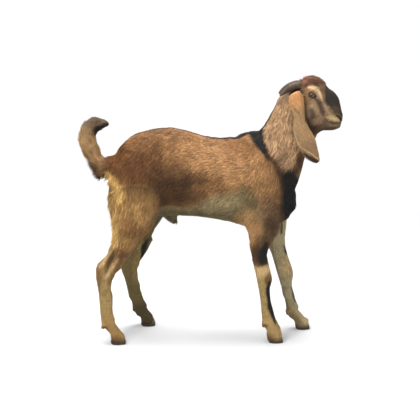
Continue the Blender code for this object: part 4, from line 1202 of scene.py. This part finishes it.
def hind_colour(marks):
    """The hind legs, over the trunk's colour."""
    flat, broad, low, base = marks.flat, marks.broad_flat, marks.loose_z, trunk_colour(marks)
    right = marks.side.step(0.004, -0.004)
    left = 1 - right
    base = base.into(BROWN, right * oval(broad, -0.270, 0.375, 0.030, 0.050, -10, 0.8) * 0.35)
    base = base.into(RUST, right * oval(broad, -0.272, 0.420, 0.026, 0.026, 0, 0.8) * 0.50)
    base = base.into(BROWN, right * oval(flat, -0.302, 0.300, 0.022, 0.030, -30, 0.7) * 0.65)
    # painted shade at the front of the near hock's hollow
    base = base.into(BROWN, right * oval(flat, -0.314, 0.332, 0.014, 0.022, 0, 0.8) * 0.75)
    base = base.into(LEG_CREAM, low.step(0.30, 0.22) * 0.85)
    # painted shade in the hollow of the near hock
    base = base.into(DARK_BROWN, right * stroke(flat, HOCK_HOLLOW_SHADE, 0.007) * 0.80)
    base = base.into(KNEE_CREAM, right * stroke(flat, HOCK_CORD, 0.006) * 0.90)
    base = base.into(KNEE_CREAM, right * stroke(flat, SHIN_CORD, 0.006) * 0.85)
    base = base.into(BROWN, right * oval(flat, -0.390, 0.238, 0.007, 0.036, 0, 0.7) * 0.60)
    base = base.into(BROWN, right * oval(flat, -0.336, 0.250, 0.012, 0.030, -30, 0.7) * 0.65)
    base = base.into(BUFF, low.step(0.13, 0.07) * 0.75)
    # painted shade: the far hind leg darkened from the belly down
    base = base.into(FAR_LEG_SHADE, left * low.step(0.46, 0.36) * 0.90)
    base = base.into(LEG_CREAM, left * oval(flat, -0.262, 0.250, 0.014, 0.060, -8, 0.8) * 0.45)
    # painted shade: the far hind foot darkened
    base = base.into(FAR_SHADE, left * low.step(0.110, 0.070) * 0.75)
    # painted shade: darker at the lower rear of the near hind foot
    base = base.into(DARK_BROWN, right * oval(flat, -0.332, 0.016, 0.018, 0.016, 0, 0.7) * 0.60)
    base = base.into(BROWN, right * oval(flat, -0.374, 0.058, 0.012, 0.010, 0, 0.7) * 0.75)
    base = base.into(BROWN, mottled(marks) * 0.30)
    return blackened(marks, base, HIND_BLACKS, right)


def mottled(marks):
    """Blotches of the lower legs."""
    return marks.recipe.noise(marks.place, 60, 3, 0.65).step(0.48, 0.64) * marks.z.step(0.34, 0.24)


def blackened(marks, base, blacks, right):
    """A leg with its own black marks and its dark foot; blacks holds the paths of each side."""
    for side, paths in blacks.items():
        here = right if side < 0 else 1 - right
        for path in paths:
            base = base.into(BLACK, stroke(marks.flat, path, 0.0045) * here)
    return base.into(DARK_BROWN, marks.z.step(0.028, 0.010) * 0.72)


TAIL_INNER = ((-0.400, 0.712, 0.002), (-0.405, 0.735, 0.006), (-0.396, 0.754, 0.010),
              (-0.374, 0.764, 0.012), (-0.352, 0.764, 0.012))


def tail_colour(marks):
    """Buff, dark on the side towards the back and at the tip."""
    base = trunk_colour(marks)
    on_tail = marks.x.step(-0.352, -0.366) * marks.z.step(0.565, 0.585)
    inner = stroke(marks.flat, TAIL_INNER, 0.005)
    root = oval(marks.flat, -0.385, 0.600, 0.030, 0.018, -30, 0.6)
    hair = base.into(TAIL_TAN, on_tail)
    hair = hair.into(TAIL_GREY, on_tail * marks.z.step(0.70, 0.775) * 0.9)
    hair = hair.into(BROWN, on_tail * marks.z.step(0.685, 0.635) * 0.55)
    hair = hair.into(DARK_BROWN, on_tail * root * 0.55)
    return hair.into(BLACK, on_tail * inner * 0.94)


BRIDGE = ((0.404, 0.912, 0.006), (0.418, 0.888, 0.022), (0.426, 0.864, 0.030), (0.438, 0.842, 0.026),
          (0.455, 0.822, 0.016), (0.468, 0.804, 0.011))
CREAM_STRIPE = ((0.344, 0.905, 0.003), (0.358, 0.906, 0.007), (0.370, 0.900, 0.008),
                (0.3785, 0.886, 0.0055), (0.3835, 0.874, 0.0038), (0.3880, 0.862, 0.0020))
SPECKLED = ((0.394, 0.848, 0.005), (0.406, 0.833, 0.010), (0.416, 0.818, 0.011), (0.424, 0.808, 0.007))
TEAR = ((0.364, 0.869, 0.004), (0.377, 0.856, 0.007), (0.386, 0.842, 0.010), (0.391, 0.828, 0.011),
        (0.393, 0.812, 0.006))
JOWL = ((0.348, 0.818, 0.012), (0.362, 0.796, 0.014), (0.380, 0.776, 0.012))
LIPS = ((0.408, 0.801, 0.004), (0.422, 0.799, 0.008), (0.436, 0.793, 0.006), (0.452, 0.786, 0.002))
LOWER_LIP = ((0.412, 0.776, 0.004), (0.428, 0.770, 0.006), (0.444, 0.770, 0.003))
CROWN_LINE = ((0.338, 0.922, 0.002), (0.358, 0.918, 0.004), (0.374, 0.907, 0.003), (0.384, 0.893, 0.002))


# Soft patches: colour, middle x and z, half sizes, tilt, softness, share.
CHEEK_PATCHES = (
    (FACE_LIGHT, 0.353, 0.838, 0.018, 0.022, 10, 0.8, 0.8),
    (FACE_WARM, 0.338, 0.892, 0.020, 0.011, 0, 0.8, 0.8),
    (FACE_WARM, 0.334, 0.868, 0.010, 0.018, 0, 0.8, 0.6),
)
JAW_PATCHES_AND_SHADE = (
    (PLUM, 0.345, 0.806, 0.018, 0.022, 0, 0.7, 0.75),
    # painted shade: the next two darken the underside of the jaw
    (DARK_BROWN, 0.360, 0.752, 0.055, 0.016, 8, 0.7, 0.88),
    (DARK_BROWN, 0.345, 0.757, 0.020, 0.022, 0, 0.7, 0.80),
    (FACE_LIGHT, 0.380, 0.790, 0.018, 0.010, 0, 0.8, 0.60),
)
FACE_PATCHES_AND_SHADE = (
    # painted shadow: black under the horn, between it and the ear
    (BLACK, 0.298, 0.893, 0.032, 0.015, -12, 0.5, 0.85),
    # painted shade on the head beside the ear's front edge
    (BROWN, 0.332, 0.858, 0.014, 0.016, 0, 0.8, 0.50),
    (FACE_LIGHT, 0.334, 0.815, 0.012, 0.014, 0, 0.8, 0.50),
)


def head_colour(marks):
    """The face, over the neck's colour."""
    flat, recipe, base = marks.flat, marks.recipe, neck_colour(marks)
    on_face = (marks.loose_x * 0.72 + marks.loose_z * 0.69).step(0.776, 0.800)
    mottle = recipe.noise(marks.place, 75, 3, 0.7).step(0.36, 0.62)
    base = base.into(recipe.mixed(FACE, FACE_LIGHT, mottle), on_face)
    blotch = recipe.noise(marks.place, 48, 3, 0.7).step(0.52, 0.66)
    base = base.into(PLUM, on_face * blotch * 0.45)
    base = patched(base, flat, CHEEK_PATCHES)
    base = base.into(PLUM, stroke(flat, JOWL, 0.014) * 0.85)
    base = patched(base, flat, JAW_PATCHES_AND_SHADE)
    base = base.into(PLUM, stroke(flat, TEAR, 0.005) * 0.95)
    base = patched(base, flat, FACE_PATCHES_AND_SHADE)
    base = base.into(NOSE_BLACK, stroke(flat, BRIDGE, 0.007) * 0.96)
    base = base.into(NOSE_BROWN, oval(flat, 0.434, 0.824, 0.018, 0.013, -20, 0.7) * 0.85)
    base = base.into(NOSE_BLACK, oval(flat, 0.464, 0.800, 0.008, 0.012, 0, 0.7) * 0.5)
    strands = recipe.noise(marks.place * (0.5, 1.0, 1.3), 150, 2, 0.6).step(0.42, 0.60)
    lock = recipe.mixed(LOCK, LOCK_RED, strands * 0.8)
    base = base.into(lock, oval(flat, 0.358, 0.932, 0.048, 0.024, 8, 0.35) * on_face)
    base = base.into(LOCK_RED, oval(flat, 0.334, 0.917, 0.020, 0.014, 0, 0.5) * on_face * 0.8)
    base = base.into(LOCK_RED, oval(flat, 0.325, 0.932, 0.012, 0.008, 0, 0.6) * on_face * 0.9)
    base = base.into(DARK_BROWN, stroke(flat, CROWN_LINE, 0.003) * 0.8)
    base = base.into(BROWN, oval(flat, 0.390, 0.896, 0.008, 0.016, -20, 0.7) * 0.6)
    return muzzle_colour(marks, base)


EYE_CORNER = ((EYE_X + 0.006, EYE_Z + 0.002, 0.003), (EYE_X + 0.013, EYE_Z - 0.004, 0.002))


def muzzle_colour(marks, base):
    """The pale stripe, the lips, the nostrils and the lids, over the colour of the face, with painted shade
    in the nostrils, along the mouth, at its corner and under the chin.
    """
    flat, recipe = marks.flat, marks.recipe
    base = base.into(STRIPE, stroke(flat, CREAM_STRIPE, 0.0035) * 0.95)
    speckles = recipe.noise(marks.place, 330, 2, 0.7).step(0.47, 0.60)
    base = base.into(STRIPE, stroke(flat, SPECKLED, 0.007) * (speckles * 0.65 + 0.08))
    base = base.into(MUZZLE, stroke(flat, LIPS, 0.005) * 0.95)
    base = base.into(CHIN_TAN, oval(flat, 0.425, 0.771, 0.030, 0.012, 5, 0.7) * 0.9)
    base = base.into(MUZZLE, stroke(flat, LOWER_LIP, 0.004) * 0.12)
    # painted shade at the corner of the mouth
    base = base.into(DARK_BROWN, oval(flat, 0.402, 0.789, 0.010, 0.007, 20, 0.7) * 0.45)
    # painted shade under the chin
    base = base.into(DARK_BROWN, oval(flat, 0.425, 0.757, 0.030, 0.006, 5, 0.8) * 0.7)
    # painted shade: the nostril pits black
    pit = stroke(flat, tuple((x, z, 0.0028) for x, z in NOSTRIL), 0.0018)
    base = base.into(BLACK, pit * 0.97)
    # painted shade along the line of the mouth
    mouth_shade = stroke(flat, tuple((x, z, 0.0014) for x, z in MOUTH), 0.0018)
    base = base.into(DARK_BROWN, mouth_shade * 0.9)
    base = base.into(BLACK, eye_rim(marks) * 0.85)
    corner = stroke(flat, EYE_CORNER, 0.002)
    return base.into(BLACK, corner * 0.9)


def eye_rim(marks):
    """The dark lids, drawn as an oval round each eye."""
    flat = marks.place * (1.0, 0.0, 1.0)
    return oval_reach(flat, EYE_X - 0.0010, EYE_Z + 0.0010, 0.0130, 0.0092, SLIT_TILT).step(1.35, 0.85)


# painted shade in the ear's fold and in the furrow by its front edge
EAR_FOLD_SHADE = ((0.285, 0.850, 0.002), (0.295, 0.832, 0.003), (0.309, 0.820, 0.002))
EAR_FURROW_SHADE = ((0.318, 0.880, 0.002), (0.330, 0.840, 0.003), (0.334, 0.800, 0.002))
# painted shade: black where the curled lower flap of the ear shows its shaded inside
EAR_FLAP_SHADE = ((0.325, 0.6800, 0.002), (0.345, 0.6670, 0.006), (0.368, 0.6520, 0.008))


def ear_colour(marks):
    """Orange at the root, tan down the blade, dark inside and pale at the rear margin, with painted shade
    in its fold and furrow and black painted shade under its curled lower flap.
    """
    flat = marks.flat
    colour = marks.recipe.mixed(EAR_ORANGE, EAR_TAN, marks.loose_z.step(0.860, 0.815))
    colour = colour.into(BROWN, marks.loose_z.step(0.77, 0.67) * 0.55)
    # painted shade in the fold and the furrow
    colour = colour.into(BROWN, stroke(flat, EAR_FOLD_SHADE, 0.004) * 0.5)
    colour = colour.into(BROWN, stroke(flat, EAR_FURROW_SHADE, 0.008) * 0.55)
    inside = marks.out.step(0.0690, 0.0655) * marks.z.step(0.875, 0.850)
    colour = colour.into(EAR_SHADE, inside * 0.85)
    margin = stroke(flat, tuple((x, z, 0.0016) for x, z in EAR_MARGIN), 0.0016)
    colour = colour.into(EAR_PALE, margin * marks.z.step(0.845, 0.825) * 0.8)
    # painted shade: black under the curled lower flap
    flap_shade = stroke(flat, EAR_FLAP_SHADE, 0.0025)
    return colour.into(BLACK, flap_shade * 0.9)


# ------------------------------------------------------------------ finishes
PAINTS = {"body": body_colour, "foreleg": fore_colour, "hindleg": hind_colour,
          "tail": tail_colour, "head": head_colour, "ear": ear_colour}
PART_OF = {"head": "head", "neck": "body", "trunk": "body", "tail": "tail",
           "leg_front_right": "foreleg", "leg_front_left": "foreleg",
           "leg_hind_right": "hindleg", "leg_hind_left": "hindleg",
           "ear_right": "ear", "ear_left": "ear"}


def skin_finish(part):
    """Skin and its shortest hair: the coat's markings darkened as painted shade under the coat, with the
    hair's grain in colour and bump.
    """
    recipe = Recipe("skin_" + part)
    place = recipe.place()
    colour = PAINTS[part](Marks(recipe, place))
    grain = recipe.noise(place * (1.0, 1.0, 0.25), 900, 2, 0.6)
    # painted shade: the skin is darker than the coat's markings, as under its hair, and varied by the grain
    colour = colour * (0.40 + 0.45 * grain)
    height = recipe.noise(place * (1.0, 1.0, 0.3), 1100, 2, 0.6)
    return recipe.finish(Base_Color=colour, Roughness=0.75, Specular_IOR_Level=0.25,
                         Normal=recipe.bump(height, 0.0012, 0.6))


def tuft_finish(part):
    """A tuft: its root's marking, darker at the root and paler at the tip, each with its own tone."""
    recipe = Recipe("hair_" + part)
    root = recipe.kept("root", "Vector")
    colour = PAINTS[part](Marks(recipe, root))
    tone, along = recipe.kept("tone"), recipe.kept("along")
    lit = 0.60 + 0.50 * along.step(0.0, 0.7)
    colour = colour * (lit * (0.30 + 1.38 * tone))
    pale = colour * 1.20 + (0.010, 0.008, 0.004)
    colour = colour.into(pale, tone.step(0.68, 1.0))
    return recipe.finish(Base_Color=colour, Roughness=0.60, Specular_IOR_Level=0.20)


def horn_finish():
    recipe = Recipe("horn_sheath")
    place = recipe.place()
    x, _, z = place.parts()
    rings = recipe.noise(place * (1.0, 0.2, 0.2), 260, 3, 0.6)
    colour = recipe.mixed(HORN_BROWN, HORN_DARK, rings.step(0.35, 0.7))
    # painted highlight: paler along the top of the horn, where the light falls
    ridge = (z - x * 0.36).step(0.805, 0.822) * (z + x * 0.2).step(0.95, 0.975)
    colour = colour.into(HORN_PALE_AND_HIGHLIGHT, ridge * 0.6)
    colour = colour.into(HORN_PALE_AND_HIGHLIGHT, x.step(0.265, 0.235) * 0.5)
    fibres = recipe.noise(place * (0.15, 1.0, 1.0), 1500, 2, 0.6)
    return recipe.finish(Base_Color=colour * (0.8 + 0.4 * fibres), Roughness=0.60, Specular_IOR_Level=0.3,
                         Normal=recipe.bump(rings + fibres * 0.4, 0.0008, 0.7))


def hoof_finish():
    recipe = Recipe("hoof_wall")
    place = recipe.place()
    _, _, z = place.parts()
    bands = recipe.noise(place * (0.25, 0.25, 1.0), 420, 3, 0.55)
    streaks = recipe.noise(place * (1.0, 1.0, 0.08), 900, 2, 0.6)
    colour = recipe.mixed(HOOF_DARK, HOOF_BROWN, z.step(0.006, 0.020))
    colour = colour * (0.65 + 0.5 * bands + 0.3 * streaks)
    return recipe.finish(Base_Color=colour, Roughness=0.50 + 0.2 * streaks,
                         Normal=recipe.bump(bands + streaks * 0.5, 0.0008, 0.7))


def eye_finish():
    """A grey iris, darker inwards, with a level slot for a pupil and black past its edge."""
    recipe = Recipe("eyeball")
    place = recipe.kept("eye", "Vector")
    along, up, _ = place.parts()
    radius = (along * along + up * up) ** 0.5
    slot = (abs(along) - PUPIL_LENGTH).larger(0.0)
    pupil = ((slot * slot + up * up) ** 0.5).step(PUPIL_HEIGHT + 0.0003, PUPIL_HEIGHT - 0.0003)
    spokes = recipe.noise(place * (1.0, 1.0, 0.2), 700, 3, 0.7)
    iris = recipe.mixed(IRIS_DARK, IRIS_PALE, (spokes * 0.5 + radius * 60).step(0.45, 0.75))
    iris = iris.into(EYE_BLACK, radius.step(IRIS - 0.0012, IRIS))
    colour = iris.into(EYE_BLACK, pupil)
    return recipe.finish(Base_Color=colour, Roughness=0.20, Specular_IOR_Level=0.35,
                         Coat_Weight=0.10, Coat_Roughness=0.05)


# ------------------------------------------------------------------ eyes, horns and hooves
CORNEA = 0.035               # that it stands out of the ball, as a share of the radius
HORN_RINGS = (0.00045, 0.0052)       # height and distance apart
HOOF_RINGS = (0.0003, 0.0034)        # in the same way


def make_eye(side):
    """An eyeball with a bulging cornea; its mesh keeps each point's place about its own axis."""
    gaze = Vector((LOOK.x, LOOK.y * SIDES[side], LOOK.z))
    bm = bmesh.new()
    bmesh.ops.create_uvsphere(bm, u_segments=48, v_segments=32, radius=BALL)
    mesh = mesh_of("eyeball_" + side, bm)
    turn = np.array(gaze.to_track_quat("Z", "Y").to_matrix())
    ball = points_of(mesh)
    centre_share = fade(ball[:, 2] / BALL, 0.80, 0.97)
    ball = ball * (1 + CORNEA * centre_share)[:, None]
    points = ball @ turn.T
    level = unit(np.cross(np.array(gaze)[None], [[0, 0, 1.0]]))[0]
    up = np.cross(level, np.array(gaze))
    own = np.stack([points @ level, points @ up, points @ np.array(gaze)], axis=1)
    attribute = mesh.attributes.new("eye", "FLOAT_VECTOR", "POINT")
    attribute.data.foreach_set("vector", own.astype(np.float32).ravel())
    place_points(mesh, points + np.array(EYES[side]))
    mesh.shade_smooth()
    return linked("eyeball_" + side, mesh)


def rounded(node, name, cuts, rounds, sole=None):
    """A CAD solid cut finely and made smooth at its own size; what is under the sole stays flat."""
    bm = whole_node(node)
    bmesh.ops.subdivide_edges(bm, edges=bm.edges, cuts=cuts, use_grid_fill=True)
    bmesh.ops.triangulate(bm, faces=bm.faces)
    mesh = mesh_of(name, bm)
    points = points_of(mesh)
    pairs = pairs_of(mesh)
    share = np.full(len(points), 0.5)
    if sole is not None:
        share = np.where(points[:, 2] < sole, 0, share)
    place_points(mesh, relaxed(points, pairs, share, rounds))
    mesh.shade_smooth()
    return linked(name, mesh)


def make_horn(side):
    """A horn with the close rings of its first year."""
    horn = rounded("horn_" + side, "horn_sheath_" + side, 5, 14)
    points, normals = points_of(horn.data), vertex_normals(horn.data)
    reach = points[:, 0].max() - points[:, 0]
    height, apart = HORN_RINGS
    rings = height * np.sin(reach / apart * 2 * math.pi + 1.5 * np.sin(reach * 90))
    rings *= fade(reach, 0.100, 0.075)
    place_points(horn.data, points + normals * rings[:, None])
    return horn


def make_hoof(node, name):
    hoof = rounded(node, name, 3, 5, 0.0005)
    points, normals = points_of(hoof.data), vertex_normals(hoof.data)
    height, apart = HOOF_RINGS
    rings = height * np.sin(points[:, 2] / apart * 2 * math.pi) * fade(points[:, 2], 0.003, 0.006)
    points = points + normals * rings[:, None]
    if node.startswith("dewclaw"):
        points = points + CLAW_TUCK
    points[:, 2] = np.maximum(points[:, 2], 0)
    place_points(hoof.data, points)
    return hoof


# ------------------------------------------------------------------ assembly
def dress():
    """Makes every piece and gives it its place and finish."""
    skin, nodes = make_skin()
    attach(skin, "root")
    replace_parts(skin, *FLESH)
    coat = make_coat(skin, nodes)
    for part in PAINTS:
        skin.data.materials.append(skin_finish(part))
    first = numbers(skin.data.polygons, "loop_start", 1)[:, 0].astype(int)
    corner = numbers(skin.data.loops, "vertex_index", 1)[:, 0].astype(int)
    place_of = [list(PAINTS).index(PART_OF[node]) for node in FLESH]
    which = np.array(place_of)[nodes[corner[first]]]
    skin.data.polygons.foreach_set("material_index", which.astype(np.int32))
    hairs = {part: tuft_finish(part) for part in PAINTS}
    for name, piece in coat.items():
        part = PART_OF[COAT[name][0][0]]
        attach(piece, "root")
        piece.data.materials.append(hairs[part])
    shine, sheath, wall = eye_finish(), horn_finish(), hoof_finish()
    for side in SIDES:
        eye = make_eye(side)
        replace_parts(eye, "eye_" + side)
        horn = make_horn(side)
        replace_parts(horn, "horn_" + side)
        for piece, finish in ((eye, shine), (horn, sheath)):
            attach(piece, "root")
            piece.data.materials.append(finish)
    for node in [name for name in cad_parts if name.startswith(("hoof", "dewclaw"))]:
        claw = make_hoof(node, "worn_" + node)
        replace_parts(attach(claw, "root"), node)
        claw.data.materials.append(wall)


FLOOR_NEAR = (0.70, 0.70, 0.70)
FLOOR_FAR = (0.05, 0.05, 0.05)
FLOOR_RADIUS = 30
FLOOR_FADE = (0.8, 3.0)      # distances from the goat between which the floor turns white
DARK, WHITE = (0.0, 0.0, 0.0), (1.0, 1.0, 1.0)
LIT_PLACE = (0, 0, 0.5)
# Name, place, size in metres and power in watts.
LAMPS = (
    ("key", (-1.6, -2.4, 3.2), 1.6, 130),
    ("top", (-0.2, 0.2, 3.4), 1.8, 130),
    ("front", (3.0, -1.6, 1.6), 2.0, 24),
)
CAMERA_PLACE = (0.0005, -4.6104, 1.45)
CAMERA_DOWN = 12.1           # degrees below level
CAMERA_LENS = 113.5          # mm
CAMERA_FILM = 36             # mm
SKY_LOW = (1.0, 1.0, 1.0)
SKY_HIGH = (0.42, 0.43, 0.45)
SKY_TURN = (0.15, 0.60)      # heights between which the low one turns into the high one


def make_sky():
    """A studio's own light: white at the level of the floor, dimmer overhead."""
    recipe = Recipe("studio", "worlds", "Background")
    _, _, height = recipe.node("ShaderNodeTexCoord", {}, {}, "Generated").parts()
    return recipe.finish(Color=recipe.mixed(SKY_LOW, SKY_HIGH, height.step(*SKY_TURN)))


def make_floor():
    """A wide pale floor, softly grey round the goat and white far off."""
    bm = bmesh.new()
    bmesh.ops.create_circle(bm, cap_ends=True, segments=96, radius=FLOOR_RADIUS)
    floor = linked("floor", mesh_of("floor", bm))
    recipe = Recipe("floor")
    far = recipe.place().length().step(*FLOOR_FADE)
    near = recipe.mixed(FLOOR_NEAR, FLOOR_FAR, far)
    glow = recipe.mixed(DARK, WHITE, far)
    floor.data.materials.append(recipe.finish(Base_Color=near, Emission_Color=glow, Emission_Strength=1.0,
                                              Roughness=1.0, Specular_IOR_Level=0.0))


def make_lamps():
    for name, place, size, power in LAMPS:
        lamp = bpy.data.lights.new(name, "AREA")
        lamp.size = size
        lamp.energy = power
        light = linked(name, lamp)
        light.location = place
        aim = Vector(LIT_PLACE) - light.location
        light.rotation_euler = aim.to_track_quat("-Z", "Y").to_euler()


def make_camera():
    lens = bpy.data.cameras.new("camera")
    lens.lens = CAMERA_LENS
    lens.sensor_width = CAMERA_FILM
    camera = linked("camera", lens)
    camera.location = CAMERA_PLACE
    camera.rotation_euler = (math.radians(90 - CAMERA_DOWN), 0, 0)
    return camera


def make_room():
    """A pale floor, soft light and the camera."""
    make_floor()
    scene = bpy.context.scene
    scene.world = make_sky()
    make_lamps()
    scene.camera = make_camera()
    scene.view_settings.view_transform = "Standard"


dress()
make_room()
